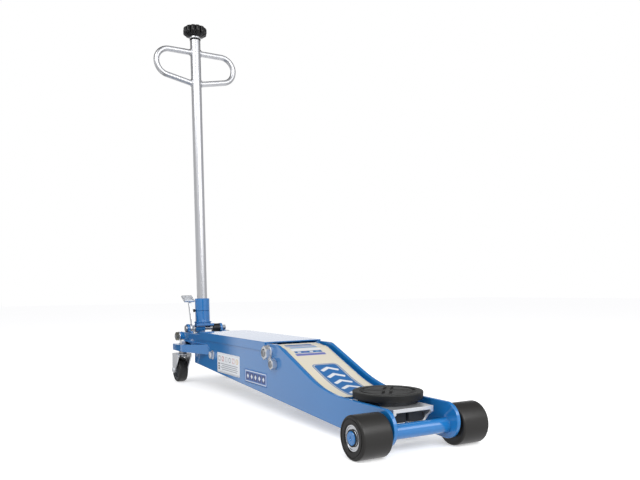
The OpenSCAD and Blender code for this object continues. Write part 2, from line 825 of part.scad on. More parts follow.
// handle foot: lug on the shaft, lever for the plunger, base plate and socket
module handle_foot() {
    color("#2f6fb0") at_handle() {
        difference() {
            union() {
                slab(lug_y0, lug_y1) {
                    circle(r = lug_r);
                    translate([-lug_r, 0]) square([2 * lug_r, foot_s0 + 1]);
                }
                translate([-pivot_x, 0, -pivot_z]) slab(pump_y - 7, pump_y + 7) lever_nose();
            }
            bar_y(0, 0, -60, 60, shaft_r + run);
        }
        translate([-foot_l / 2 + 1, -foot_w / 2, foot_s0]) cube([foot_l, foot_w, foot_t]);
        cylinder_at(socket_s0, socket_s0 + 4, socket_d / 2 + 2.5);
        difference() {
            cylinder_at(socket_s0, socket_s0 + socket_l, socket_d / 2);
            cylinder_at(tube_s0, socket_s0 + socket_l + 1, tube_d / 2);
            difference() {
                cylinder_at(groove_s0, groove_s0 + groove_w, socket_d / 2 + 1);
                cylinder_at(groove_s0 - 1, groove_s0 + groove_w + 1, socket_d / 2 - 0.8);
            }
        }
    }
}
module handle_tube() {
    color("#c9cdd2") at_handle() difference() {
        cylinder_at(tube_s0, tube_top, tube_d / 2);
        cylinder_at(tube_s0 - 1, tube_top + 1, tube_d / 2 - tube_wall);
    }
}

// D-shaped grip loop: level upper bar, round outer end, lower bar rising outwards
module grip_loop() {
    low_y = grip_cy + arc_r * sin(grip_a);
    low_s = grip_cz - arc_r * cos(grip_a);
    bar_r = grip_r - 0.05;
    color("#c9cdd2") at_handle() difference() {
        union() {
            translate([0, 0, grip_top]) rotate([-90, 0, 0]) cylinder(r = bar_r, h = grip_cy + 1);
            translate([0, grip_cy, grip_cz]) rotate([90, 0, 90]) rotate(grip_a - 90)
                rotate_extrude(angle = 180 - grip_a) translate([arc_r, 0]) circle(r = grip_r);
            translate([0, low_y, low_s]) rotate([90 + grip_a, 0, 0]) translate([0, 0, -1])
                cylinder(r = bar_r, h = low_y / cos(grip_a) + 1);
        }
        cylinder_at(0, tube_top + 20, tube_d / 2);
        translate([-50, -100, 0]) cube([100, 100, tube_top + 20]);
    }
}
module grip_right() { mirror([0, 1, 0]) grip_loop(); }
module grip_left() { grip_loop(); }

// lobed knob, its collar and the rod down the tube towards the release valve
lobe_n = 12;
lobe_r = 7.5;
collar_r = 18.5;
rod_r = 5;
module release_knob() {
    color("#1f2021") at_handle() {
        cylinder_at(knob_s0, knob_s0 + knob_h, knob_d / 2 - lobe_r);
        for (i = [0:lobe_n - 1]) rotate(i * 360 / lobe_n) translate([knob_d / 2 - lobe_r, 0, 0])
            cylinder_at(knob_s0 + 6, knob_s0 + knob_h - 4, lobe_r);
        cylinder_at(tube_top + gap, knob_s0, collar_r);
        cylinder_at(tube_s0 + 20, tube_top + gap, rod_r);
    }
}

// foot pedal: hub on the handle shaft, leaning stem and ribbed tread
pedal_up = 92;          // stem's top above the shaft
pedal_back = 22;        // stem's top behind the shaft
stem_w = 14;
tread_l = 38;
tread_w = 36;
tread_t = 5;
tread_a = 28;
tread_y = pedal_y - 4;
tread_ribs = 4;
module pedal_stem() {
    polygon([[pivot_x + 4, pivot_z], [pivot_x + stem_w, pivot_z - 2], [pivot_x + 22, pivot_z + 12],
        [pivot_x - pedal_back + stem_w / 2, pivot_z + pedal_up + 3],
        [pivot_x - pedal_back - stem_w / 2, pivot_z + pedal_up + 3 + stem_w * tan(tread_a)]]);
}
module pedal() {
    color("#d5d8db") place() {
        difference() {
            union() {
                bar_y(pivot_x, pivot_z, pedal_y0, pedal_y1, 14);
                slab(pedal_y - 5, pedal_y + 5) lever_nose();
                slab(pedal_y - 4, pedal_y + 4) pedal_stem();
            }
            bar_y(pivot_x, pivot_z, pedal_y0 - 1, pedal_y1 + 1, shaft_r + run);
        }
        translate([pivot_x - pedal_back, tread_y, pivot_z + pedal_up + 7]) rotate([0, tread_a, 0]) {
            translate([-tread_l / 2, -tread_w / 2, 2 - tread_t]) cube([tread_l, tread_w, tread_t]);
            for (i = [0:tread_ribs - 1])
                translate([(i + 0.5) * tread_l / tread_ribs - tread_l / 2 - 2, 2 - tread_w / 2, 2])
                    cube([4, tread_w - 4, 2.5]);
        }
    }
}

side_plate_right();
side_plate_left();
front_axle();
cross_tube();
rear_deck();
handle_bracket();
bracket_bolts();
bracket_washers();
bracket_nuts();
outrigger_right();
outrigger_left();
kingpins();
kingpin_nuts();
top_cover();
pump_body();
pump_bolts();
lift_cylinder();
arm_shaft();
arm_washers();
arm_nuts();
link_studs();
link_nuts();
handle_shaft();
shaft_spacer();
labels();
roller_right();
roller_bearings_right();
roller_left();
roller_bearings_left();
axle_circlips();
caster_fork_right();
caster_axle_right();
caster_wheel_right();
caster_tyre_right();
caster_fork_left();
caster_axle_left();
caster_wheel_left();
caster_tyre_left();
arm_cheeks();
arm_top();
arm_hub();
arm_tie_tube();
arm_tip_pin();
tip_spacers();
drive_pin();
saddle_bracket();
link_pins();
levelling_links();
saddle_cup();
saddle_pad();
saddle_circlip();
ram();
handle_foot();
handle_tube();
grip_right();
grip_left();
release_knob();
pedal();
pump_plunger();
pedal_plunger();
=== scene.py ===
import json
import math

import bmesh
import bpy
import numpy as np
from mathutils import Matrix, Vector
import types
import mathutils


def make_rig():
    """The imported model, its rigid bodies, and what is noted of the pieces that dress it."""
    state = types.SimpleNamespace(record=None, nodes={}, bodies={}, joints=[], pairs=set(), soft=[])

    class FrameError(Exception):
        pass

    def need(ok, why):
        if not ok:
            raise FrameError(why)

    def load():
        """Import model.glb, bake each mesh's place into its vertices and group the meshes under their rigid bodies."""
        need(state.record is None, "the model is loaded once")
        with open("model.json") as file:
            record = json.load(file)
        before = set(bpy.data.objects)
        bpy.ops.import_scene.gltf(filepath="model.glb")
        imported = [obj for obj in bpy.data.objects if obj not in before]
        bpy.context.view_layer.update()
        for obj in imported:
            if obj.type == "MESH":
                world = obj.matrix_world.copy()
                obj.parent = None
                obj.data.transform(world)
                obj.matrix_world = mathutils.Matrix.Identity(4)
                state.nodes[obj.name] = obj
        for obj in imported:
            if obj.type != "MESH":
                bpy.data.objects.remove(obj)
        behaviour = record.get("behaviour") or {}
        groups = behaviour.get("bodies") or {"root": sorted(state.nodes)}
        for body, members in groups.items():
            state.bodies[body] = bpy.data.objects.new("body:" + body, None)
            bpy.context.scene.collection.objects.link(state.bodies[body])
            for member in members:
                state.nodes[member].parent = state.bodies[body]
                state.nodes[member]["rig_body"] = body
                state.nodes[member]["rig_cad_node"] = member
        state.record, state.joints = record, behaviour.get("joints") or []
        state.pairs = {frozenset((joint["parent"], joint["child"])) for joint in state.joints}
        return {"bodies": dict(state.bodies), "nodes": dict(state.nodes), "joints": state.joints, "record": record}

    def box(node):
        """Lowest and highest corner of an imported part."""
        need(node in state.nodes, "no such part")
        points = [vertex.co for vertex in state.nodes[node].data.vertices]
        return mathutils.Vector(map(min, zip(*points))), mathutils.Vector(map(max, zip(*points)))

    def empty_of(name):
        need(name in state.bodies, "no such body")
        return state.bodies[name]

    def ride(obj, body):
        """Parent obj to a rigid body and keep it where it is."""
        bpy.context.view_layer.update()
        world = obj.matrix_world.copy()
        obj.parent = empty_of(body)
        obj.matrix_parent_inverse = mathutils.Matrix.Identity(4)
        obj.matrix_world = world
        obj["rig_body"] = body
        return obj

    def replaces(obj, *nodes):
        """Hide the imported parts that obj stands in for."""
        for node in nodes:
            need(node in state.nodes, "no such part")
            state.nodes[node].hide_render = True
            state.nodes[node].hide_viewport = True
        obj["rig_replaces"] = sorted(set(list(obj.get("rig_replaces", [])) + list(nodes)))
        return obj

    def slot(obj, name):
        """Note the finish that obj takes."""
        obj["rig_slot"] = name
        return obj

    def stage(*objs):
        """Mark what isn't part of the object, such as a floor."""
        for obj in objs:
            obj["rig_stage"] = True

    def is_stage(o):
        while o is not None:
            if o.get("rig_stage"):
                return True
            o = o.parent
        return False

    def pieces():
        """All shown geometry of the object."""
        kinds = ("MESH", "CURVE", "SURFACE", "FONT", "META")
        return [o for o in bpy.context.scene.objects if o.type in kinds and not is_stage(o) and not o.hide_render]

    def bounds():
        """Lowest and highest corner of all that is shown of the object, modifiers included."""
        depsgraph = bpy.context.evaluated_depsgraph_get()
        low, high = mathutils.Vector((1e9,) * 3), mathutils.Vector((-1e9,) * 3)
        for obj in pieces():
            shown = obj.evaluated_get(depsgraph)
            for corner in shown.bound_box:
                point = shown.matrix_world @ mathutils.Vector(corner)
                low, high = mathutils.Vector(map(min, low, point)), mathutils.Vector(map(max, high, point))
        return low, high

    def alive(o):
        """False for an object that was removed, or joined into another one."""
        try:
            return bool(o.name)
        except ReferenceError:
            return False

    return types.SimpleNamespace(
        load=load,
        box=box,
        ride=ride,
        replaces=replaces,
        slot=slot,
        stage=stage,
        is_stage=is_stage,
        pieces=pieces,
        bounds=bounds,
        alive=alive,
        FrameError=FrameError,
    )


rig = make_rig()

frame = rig.load()
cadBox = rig.bounds()
nodes = frame["nodes"]
record = frame["record"]
bodyOf = {node: body for body, names in record["behaviour"]["bodies"].items() for node in names}
slotOf = {row["node"]: row["material_slot"] for row in record["subparts"]}
bothSides = (("right", -1), ("left", 1))    # the jack's own sides, and where each lies along Y

# camera at the height of the chassis, looking back along the jack from its right
cameraSet = {
    "place": (1.53515, -0.72889, 0.29645),
    "yaw": 29.347,        # degrees, turned from looking back along X
    "pitch": -2.5,
    "roll": -0.596,
    "lens": 36.535,
    "sensor": 36,
    "shiftY": 0.1218,
    "near": 0.01,
}


def addObject(name, data):
    item = bpy.data.objects.new(name, data)
    bpy.context.scene.collection.objects.link(item)
    return item


def makeCamera():
    # forward from yaw and pitch, right and up from it, then both turned by the roll
    c = cameraSet
    yaw, pitch, roll = (math.radians(c[k]) for k in ("yaw", "pitch", "roll"))
    ahead = Vector((-math.cos(yaw) * math.cos(pitch), math.sin(yaw) * math.cos(pitch), math.sin(pitch)))
    right = ahead.cross(Vector((0, 0, 1))).normalized()
    up = right.cross(ahead)
    turned = math.cos(roll) * right + math.sin(roll) * up
    upright = -math.sin(roll) * right + math.cos(roll) * up
    data = bpy.data.cameras.new("camera")
    data.lens = c["lens"]
    data.sensor_width = c["sensor"]
    data.shift_y = c["shiftY"]
    data.clip_start = c["near"]
    camera = addObject("camera", data)
    facing = Matrix((turned, upright, -ahead)).transposed().to_4x4()
    camera.matrix_world = Matrix.Translation(c["place"]) @ facing
    bpy.context.scene.camera = camera


makeCamera()
bpy.context.scene.view_settings.view_transform = "Standard"
print("camera set")


# nodes and materials
def toLinear(red, green, blue):
    # screen colour, 0 to 255, as the linear colour that shaders take
    c = np.array((red, green, blue)) / 255
    linear = np.where(c <= 0.04045, c / 12.92, ((c + 0.055) / 1.055) ** 2.4)
    return (*linear.tolist(), 1.0)


def addNode(tree, kind, inputs=None, **settings):
    # a shader node with its settings, and its inputs plugged or set
    node = tree.nodes.new("ShaderNode" + kind)
    for name, value in settings.items():
        setattr(node, name, value)
    for key, value in (inputs or {}).items():
        if isinstance(value, bpy.types.NodeSocket):
            tree.links.new(value, node.inputs[key])
        else:
            node.inputs[key].default_value = value
    return node


def maths(tree, operation, *values):
    return addNode(tree, "Math", dict(enumerate(values)), operation=operation).outputs[0]


def vectorMaths(tree, operation, *values):
    node = addNode(tree, "VectorMath", dict(enumerate(values)), operation=operation)
    return node.outputs["Value" if operation == "LENGTH" else "Vector"]


def between(tree, value, start, end, first=0.0, last=1.0):
    # runs from first, at start and before it, to last, at end and after it
    return addNode(tree, "MapRange", {"Value": value, 1: start, 2: end, 3: first, 4: last}).outputs[0]


def mixTone(tree, share, below, above):
    return addNode(tree, "Mix", {0: share, 6: below, 7: above}, data_type="RGBA").outputs[2]


def startGroup(name, inputs, outputs):
    group = bpy.data.node_groups.new(name, "ShaderNodeTree")
    for label, kind, value in inputs:
        socket = group.interface.new_socket(label, in_out="INPUT", socket_type="NodeSocket" + kind)
        socket.default_value = value
    for label, kind in outputs:
        group.interface.new_socket(label, in_out="OUTPUT", socket_type="NodeSocket" + kind)
    return group, group.nodes.new("NodeGroupInput").outputs, group.nodes.new("NodeGroupOutput").inputs


cloudSet = {"start": 0.36, "full": 0.64, "detail": 5.0, "smearScale": 3.7, "smearDetail": 3.0,
            "grainDetail": 2.0}


def makeSurfaceGroup():
    # cloudy tone, uneven roughness and a fine grain height, all on object coordinates
    group, given, out = startGroup("surface", (
        ("Colour", "Color", (0.5, 0.5, 0.5, 1)), ("Tint", "Color", (0.4, 0.4, 0.4, 1)),
        ("Scale", "Float", 6.0), ("Stretch", "Vector", (1, 1, 1)), ("Amount", "Float", 0.3),
        ("Rough", "Float", 0.4), ("Spread", "Float", 0.1), ("Grain", "Float", 400.0)),
        (("Colour", "Color"), ("Roughness", "Float"), ("Height", "Float")))
    c = cloudSet
    place = addNode(group, "TexCoord").outputs["Object"]
    drawn = addNode(group, "Mapping", {"Vector": place, "Scale": given["Stretch"]}).outputs[0]

    def noise(scale, detail):
        return addNode(group, "TexNoise", {"Vector": drawn, "Scale": scale, "Detail": detail}).outputs[0]

    cloud = between(group, noise(given["Scale"], c["detail"]), c["start"], c["full"])
    share = maths(group, "MULTIPLY", cloud, given["Amount"])
    smear = noise(maths(group, "MULTIPLY", given["Scale"], c["smearScale"]), c["smearDetail"])
    centred = maths(group, "SUBTRACT", smear, 0.5)
    rough = maths(group, "MULTIPLY_ADD", centred, given["Spread"], given["Rough"])
    group.links.new(mixTone(group, share, given["Colour"], given["Tint"]), out["Colour"])
    group.links.new(rough, out["Roughness"])
    group.links.new(noise(given["Grain"], c["grainDetail"]), out["Height"])
    return group


def fromAxis(tree, centre):
    # place relative to a centre, and its distance from the line along Y through that centre
    local = vectorMaths(tree, "SUBTRACT", addNode(tree, "TexCoord").outputs["Object"], centre)
    return local, vectorMaths(tree, "LENGTH", vectorMaths(tree, "MULTIPLY", local, (1, 0, 1)))


ringSet = {"fineDetail": 2.0, "wideScale": 90.0, "wideDetail": 3.0, "toneStart": 0.4, "toneFull": 0.62}


def makeTurnedGroup():
    # rings round an axle along Y: one-dimensional noise over the distance from it plus the place along it
    group, given, out = startGroup("turnedRings", (
        ("Centre", "Vector", (0, 0, 0)), ("Scale", "Float", 900.0)), (("Height", "Float"), ("Tone", "Float")))
    local, radius = fromAxis(group, given["Centre"])
    along = maths(group, "ADD", radius, addNode(group, "SeparateXYZ", {0: local}).outputs[1])
    for label, scale, detail in (("Height", given["Scale"], ringSet["fineDetail"]),
                                 ("Tone", ringSet["wideScale"], ringSet["wideDetail"])):
        noise = addNode(group, "TexNoise", {"W": along, "Scale": scale, "Detail": detail},
                        noise_dimensions="1D")
        group.links.new(noise.outputs[0], out[label])
    return group


def makePanelGroup():
    # mask of a rounded rectangle on the UV map: one minus the stepped distance outside its edge
    group, given, out = startGroup("panel", (
        ("Centre", "Vector", (0, 0, 0)), ("Half", "Vector", (0.1, 0.1, 0)), ("Corner", "Float", 0.01),
        ("Turn", "Float", 0.0), ("Soft", "Float", 0.0004)), (("Mask", "Float"),))
    local = vectorMaths(group, "SUBTRACT", addNode(group, "TexCoord").outputs["UV"], given["Centre"])
    turned = addNode(group, "VectorRotate", {"Vector": local, "Angle": given["Turn"]}, rotation_type="Z_AXIS")
    beyond = vectorMaths(group, "SUBTRACT", vectorMaths(group, "ABSOLUTE", turned.outputs[0]), given["Half"])
    outer = vectorMaths(group, "MAXIMUM", vectorMaths(group, "ADD", beyond, given["Corner"]), (0, 0, 0))
    reach = vectorMaths(group, "LENGTH", vectorMaths(group, "MULTIPLY", outer, (1, 1, 0)))
    away = maths(group, "SUBTRACT", reach, given["Corner"])
    inside = maths(group, "MULTIPLY", given["Soft"], -1.0)
    group.links.new(between(group, away, inside, given["Soft"], 1.0, 0.0), out["Mask"])
    return group


surfaceGroup = makeSurfaceGroup()
turnedGroup = makeTurnedGroup()
panelGroup = makePanelGroup()


def shaderOf(material):
    return material.node_tree, material.node_tree.nodes["Principled BSDF"]


def finishOf(name, colour, tint, rough, spread=0.08, metal=0.0, amount=0.35, scale=7.0, stretch=(1, 1, 1),
             grain=420.0, bump=0.05, depth=0.0002, coat=0.0, coatRough=0.05, coatIor=1.5, specular=0.5):
    # one Principled finish, fed by the surface group
    material = bpy.data.materials.new(name)
    material.use_nodes = True
    tree, shader = shaderOf(material)
    surface = addNode(tree, "Group", node_tree=surfaceGroup, inputs={
        "Colour": toLinear(*colour), "Tint": toLinear(*tint), "Scale": scale, "Stretch": stretch,
        "Amount": amount, "Rough": rough, "Spread": spread, "Grain": grain})
    relief = addNode(tree, "Bump", {"Height": surface.outputs["Height"], "Strength": bump, "Distance": depth})
    tree.links.new(surface.outputs["Colour"], shader.inputs["Base Color"])
    tree.links.new(surface.outputs["Roughness"], shader.inputs["Roughness"])
    tree.links.new(relief.outputs[0], shader.inputs["Normal"])
    for label, value in (("Metallic", metal), ("Coat Weight", coat), ("Coat Roughness", coatRough),
                         ("Coat IOR", coatIor), ("Specular IOR Level", specular)):
        shader.inputs[label].default_value = value
    return material


def layTone(material, share, tone):
    # another tone over the finish's own colour, where the mask says
    tree, shader = shaderOf(material)
    base = shader.inputs["Base Color"].links[0].from_socket
    tree.links.new(mixTone(tree, share, base, toLinear(*tone)), shader.inputs["Base Color"])


def turnFinish(material, centre, scale, bump, depth, tone):
    # the turning marks of a lathe go over a finish: finer relief and bands of another tone
    tree, shader = shaderOf(material)
    rings = addNode(tree, "Group", node_tree=turnedGroup, inputs={"Centre": centre, "Scale": scale})
    below = shader.inputs["Normal"].links[0].from_socket
    relief = addNode(tree, "Bump", {"Height": rings.outputs["Height"], "Normal": below,
                                    "Strength": bump, "Distance": depth})
    tree.links.new(relief.outputs[0], shader.inputs["Normal"])
    layTone(material, between(tree, rings.outputs["Tone"], ringSet["toneStart"], ringSet["toneFull"]), tone)


def span(node):
    low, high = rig.box(node)
    return np.array(low), np.array(high)


def middle(node):
    low, high = span(node)
    return (low + high) / 2


axleX, _, axleZ = middle("front_axle")
axleCentre = (axleX, 0, axleZ)

# colour and tint run from 0 to 255; amount is how much of the tint shows, grain its fine relief
paint = dict(colour=(25, 115, 183), tint=(19, 107, 174), rough=0.3, spread=0.06, amount=0.4, scale=5.0,
             grain=260.0, bump=0.03, depth=0.0003, coat=1.0, coatRough=0.035, coatIor=1.75, specular=0.06)
tyreRubber = dict(colour=(38, 38, 38), tint=(27, 27, 28), rough=0.5, spread=0.1, amount=0.5, scale=18.0,
                  grain=800.0, bump=0.15, depth=0.0003)
finishSet = {
    "body_blue": paint,
    "arm_cream": paint,     # the arm is painted as the body is, and its film is the cream part
    "zinc": dict(colour=(232, 234, 237), tint=(206, 209, 214), rough=0.34, spread=0.1, metal=0.82,
                 amount=0.4, scale=10.0, grain=600.0, bump=0.02),
    "handle_zinc": dict(colour=(209, 210, 213), tint=(186, 188, 193), rough=0.32, spread=0.04, metal=1.0,
                        amount=0.45, scale=16.0, stretch=(3, 3, 0.15), grain=500.0, bump=0.03, depth=0.0003),
    "steel": dict(colour=(176, 178, 182), tint=(128, 130, 134), rough=0.3, spread=0.16, metal=1.0,
                  amount=0.5, scale=30.0, grain=900.0, bump=0.06),
    "bearing": dict(colour=(226, 228, 231), tint=(196, 199, 204), rough=0.2, spread=0.1, metal=1.0,
                    scale=40.0, bump=0.03),
    "ram_chrome": dict(colour=(224, 226, 229), tint=(205, 208, 212), rough=0.1, spread=0.05, metal=1.0,
                       amount=0.3, scale=12.0, stretch=(0.2, 1, 1), bump=0.02),
    "cylinder_steel": dict(colour=(186, 189, 193), tint=(150, 153, 158), rough=0.24, spread=0.12, metal=1.0,
                           amount=0.5, scale=16.0, stretch=(1, 4, 4)),
    "dark_steel": dict(colour=(52, 54, 57), tint=(34, 35, 37), rough=0.42, spread=0.16, metal=0.7,
                       amount=0.5, scale=30.0, grain=800.0, bump=0.08),
    "nut_olive": dict(colour=(146, 144, 130), tint=(108, 107, 98), rough=0.4, spread=0.12, metal=0.9,
                      amount=0.5, scale=40.0, grain=900.0, bump=0.06),
    "pump_iron": dict(colour=(64, 66, 70), tint=(44, 46, 50), rough=0.55, spread=0.12, metal=0.25,
                      amount=0.6, scale=14.0, grain=520.0, bump=0.5, depth=0.0006),
    "roller_black": dict(colour=(24, 23, 22), tint=(19, 18, 18), rough=0.33, spread=0.06, amount=0.3,
                         scale=9.0, grain=900.0, specular=0.34),
    "hub_grey": dict(colour=(92, 95, 99), tint=(70, 73, 78), rough=0.45, spread=0.1, amount=0.4,
                     scale=24.0, grain=700.0, bump=0.12),
    "tyre_right": tyreRubber,
    "tyre_left": tyreRubber,
    "pad_rubber": dict(colour=(33, 34, 33), tint=(25, 26, 26), rough=0.52, spread=0.14, amount=0.5,
                       scale=26.0, grain=1100.0, bump=0.25, depth=0.0003, specular=0.45),
    "knob_black": dict(colour=(13, 13, 14), tint=(9, 9, 10), rough=0.2, spread=0.06, amount=0.4,
                       scale=20.0, grain=600.0, bump=0.04, specular=0.4),
}
finishes = {name: finishOf(name, **values) for name, values in finishSet.items()}

# finish and the centre it turns about, then scale, bump, depth and tone of its rings
turnedSet = (
    ("roller_black", axleCentre, 1500.0, 0.25, 0.0002, (33, 32, 31)),
    ("bearing", axleCentre, 2600.0, 0.2, 0.0001, (206, 208, 212)),
    ("tyre_right", middle("caster_tyre_right"), 1400.0, 0.25, 0.0002, (31, 31, 31)),
    ("tyre_left", middle("caster_tyre_left"), 1400.0, 0.25, 0.0002, (31, 31, 31)),
)
for name, centre, *marks in turnedSet:
    turnFinish(finishes[name], tuple(centre), *marks)

# painted sheen on the rollers' treads: where it starts, where it is full, and its tone
treadSheenSet = {"start": 0.0368, "full": 0.0392, "tone": (41, 40, 39)}


def paintTreadSheen():
    # painted sheen: the rollers are lighter where the distance from the axle runs from start to full, a lit band
    # painted on the tread
    material = finishes["roller_black"]
    radius = fromAxis(material.node_tree, axleCentre)[1]
    share = between(material.node_tree, radius, treadSheenSet["start"], treadSheenSet["full"])
    layTone(material, share, treadSheenSet["tone"])


paintTreadSheen()
print("finishes made")


# meshes from grids
def profileArc(before, corner, after, radius, steps):
    # the arc that rounds a corner: its ends lie radius/tan(half angle) back along the two sides
    a = (before - corner) / np.linalg.norm(before - corner)
    b = (after - corner) / np.linalg.norm(after - corner)
    half = math.acos(float(np.clip(a @ b, -1, 1))) / 2
    centre = corner + (a + b) / np.linalg.norm(a + b) * radius / math.sin(half)
    first = corner + a * radius / math.tan(half) - centre
    last = corner + b * radius / math.tan(half) - centre
    start = math.atan2(first[1], first[0])
    turn = (math.atan2(last[1], last[0]) - start + math.pi) % (2 * math.pi) - math.pi
    angles = start + turn * np.linspace(0, 1, steps + 1)
    return centre + radius * np.stack((np.cos(angles), np.sin(angles)), 1)


def rounded(outline, radii, steps):
    # an open outline of few points, with each inner corner rounded by its own radius
    outline = np.array(outline, float)
    parts = [outline[:1]]
    for i, radius in enumerate(radii, 1):
        sharp = radius <= 0
        parts.append(outline[i:i + 1] if sharp else profileArc(*outline[i - 1:i + 2], radius, steps))
    return np.concatenate(parts + [outline[-1:]])


def ringProfile(bore, outer, start, end, cut=0.0006):
    # a ring from start to end along its axis, with both outer edges cut
    return ((bore, start), (outer - cut, start), (outer, start + cut), (outer, end - cut), (outer - cut, end),
            (bore, end))


def roundTurn(count):
    # even angles round a circle, without the last one, which is the first again
    return np.linspace(0, 2 * math.pi, count, endpoint=False)


def circle(angle, first, second):
    # the angle's cosine times one direction plus its sine times another
    return np.cos(angle)[:, None] * first + np.sin(angle)[:, None] * second


def distanceAlong(path):
    return np.concatenate(((0,), np.cumsum(np.linalg.norm(np.diff(path, axis=0), axis=1))))


def directions(path):
    # from the point before to the point after, brought to unit length
    tangent = np.gradient(path, axis=0)
    return tangent / np.linalg.norm(tangent, axis=1, keepdims=True)


def smoothed(name, mesh, sharp):
    # an object of the mesh, smooth but for the edges past an angle in degrees
    mesh.shade_smooth()
    mesh.set_sharp_from_angle(angle=math.radians(sharp))
    return addObject(name, mesh)


mergeSet = {"gap": 2e-6, "sliver": 1e-7}


def gridPiece(name, points, wrapRows=False, wrapCols=True, uv=None, smooth=32):
    # faces between neighbours of a grid of points; doubled points merge and the faces turn outwards
    rows, cols = points.shape[:2]
    i, j = np.meshgrid(np.arange(rows - (not wrapRows)), np.arange(cols - (not wrapCols)), indexing="ij")
    down, right = (i + 1) % rows, (j + 1) % cols
    faces = np.stack((i * cols + j, down * cols + j, down * cols + right, i * cols + right), -1)
    mesh = bpy.data.meshes.new(name)
    mesh.from_pydata(points.reshape(-1, 3).tolist(), [], faces.reshape(-1, 4).tolist())
    if uv is not None:
        layer = mesh.uv_layers.new(name="flat")
        order = np.empty(len(mesh.loops), np.int32)
        mesh.loops.foreach_get("vertex_index", order)
        layer.data.foreach_set("uv", uv.reshape(-1, 2)[order].ravel())
    shell = bmesh.new()
    shell.from_mesh(mesh)
    bmesh.ops.remove_doubles(shell, verts=shell.verts, dist=mergeSet["gap"])
    bmesh.ops.dissolve_degenerate(shell, edges=shell.edges, dist=mergeSet["sliver"])
    bmesh.ops.recalc_face_normals(shell, faces=shell.faces)
    shell.to_mesh(mesh)
    shell.free()
    return smoothed(name, mesh, smooth)


def joined(name, pieces):
    # several grid pieces made one mesh
    shell = bmesh.new()
    for piece in pieces:
        shell.from_mesh(piece.data)
        bpy.data.objects.remove(piece)
    mesh = bpy.data.meshes.new(name)
    shell.to_mesh(mesh)
    shell.free()
    return addObject(name, mesh)


def seat(piece, body, slot, material=None, *replaced):
    # body to ride on, record slot, finish, and the CAD nodes that the piece stands for
    piece.data.materials.clear()
    piece.data.materials.append(material or finishes[slot])
    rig.ride(piece, body)
    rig.slot(piece, slot)
    if replaced:
        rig.replaces(piece, *replaced)


def standFor(node, piece, material=None):
    # the piece takes the place of one CAD node, on that node's body and with its slot
    seat(piece, bodyOf[node], slotOf[node], material, node)


acrossY = np.array(((1.0, 0, 0), (0, 0, 1.0), (0, 1.0, 0)))     # two radial directions, then the axis
uprightZ = np.array(((1.0, 0, 0), (0, 1.0, 0), (0, 0, 1.0)))


def revolved(name, profile, centre, axes=acrossY, count=96, closed=False):
    # each profile point (radius, place along the axis) goes round the axis: radius times cosine and sine
    profile = np.array(profile, float)
    ring = circle(roundTurn(count), axes[0], axes[1])
    points = profile[:, None, :1] * ring[None] + profile[:, None, 1:] * axes[2] + np.array(centre)
    return gridPiece(name, points, wrapRows=closed)


def swept(name, path, radius, plane, count, ripple=0.0, ripples=0):
    # a round section carried along a path that lies in a plane; ripples swell it as a weld bead's do
    side = np.cross(directions(path), plane)
    size = radius * (1 + ripple * np.abs(np.sin(math.pi * ripples * np.linspace(0, 1, len(path)))))
    section = circle(roundTurn(count), np.array(plane, float), side[:, None])
    points = path[:, None] + size[:, None, None] * section
    caps = [np.repeat(path[k][None, None], count, 1) for k in (0, -1)]
    return gridPiece(name, np.concatenate((caps[0], points, caps[1])), smooth=50)


def closedBead(name, path, out, across, turn, bead):
    # a ring of weld: small circles between two directions, swollen by the sine of the turn times ripples
    size = bead["radius"] * (1 + bead["ripple"] * np.abs(np.sin(turn * bead["ripples"])))
    section = circle(roundTurn(bead["sides"]), out[:, None], across)
    points = path[:, None] + size[:, None, None] * section
    return gridPiece(name, points[:-1], wrapRows=True, smooth=60)


hexSet = {"face": 0.97, "cone": 30}     # share of the flats that stays level, and the cone's angle


def hexSolid(name, centre, flats, height, bore, axes, count=96):
    # hexagon radius is half the flats over the cosine from the nearest flat; a cone cuts its corners
    angle = roundTurn(count)
    hexagon = flats / 2 / np.cos((angle + math.pi / 6) % (math.pi / 3) - math.pi / 6)
    inner = np.full(count, flats / 2 * hexSet["face"])
    cut = (hexagon - inner) * math.tan(math.radians(hexSet["cone"]))
    hole = np.full(count, bore)
    radii = np.stack((hole, inner, hexagon, hexagon, inner, hole))
    heights = np.stack((0 * cut, 0 * cut, cut, height - cut, 0 * cut + height, 0 * cut + height))
    points = (np.cos(angle) * radii)[..., None] * axes[0] + (np.sin(angle) * radii)[..., None] * axes[1] + (
        heights[..., None] * axes[2])
    return gridPiece(name, points + np.array(centre), wrapRows=bore > 0)


threadSet = {"fine": 8, "rows": 12, "sides": 48, "depth": 0.55, "end": 0.0012, "cut": 0.0016, "slope": 1.2}


def threadedBar(name, centre, y0, y1, radius, threads, pitch=0.002):
    # thread: radius less a triangle wave of height over pitch minus the turn; chamfered at both ends
    t = threadSet
    zones = [np.arange(a, b, pitch / t["fine"]) for a, b in threads]
    plain = [np.linspace(y0, y1, t["rows"]), (y0 + t["end"], y1 - t["end"])]
    y = np.unique(np.concatenate(zones + plain))
    angle = roundTurn(t["sides"])
    turn = (y[:, None] / pitch - angle[None] / (2 * math.pi)) % 1
    inThread = np.any([(y >= a) & (y <= b) for a, b in threads], axis=0)[:, None]
    radii = radius - inThread * t["depth"] * pitch * np.abs(2 * turn - 1)
    chamfer = radius - t["cut"] + np.minimum(y - y0, y1 - y)[:, None] * t["slope"]
    radii = np.minimum(radii, chamfer)
    radii = np.concatenate((0 * radii[:1], radii, 0 * radii[:1]))
    y = np.broadcast_to(np.concatenate((y[:1], y, y[-1:]))[:, None], radii.shape)
    points = np.stack((np.cos(angle) * radii, y, np.sin(angle) * radii), -1)
    return gridPiece(name, points + np.array(centre), smooth=60)


dressSet = {"sliver": 1e-6, "flat": 0.6, "sharp": 32, "steps": 2}     # flat and sharp in degrees


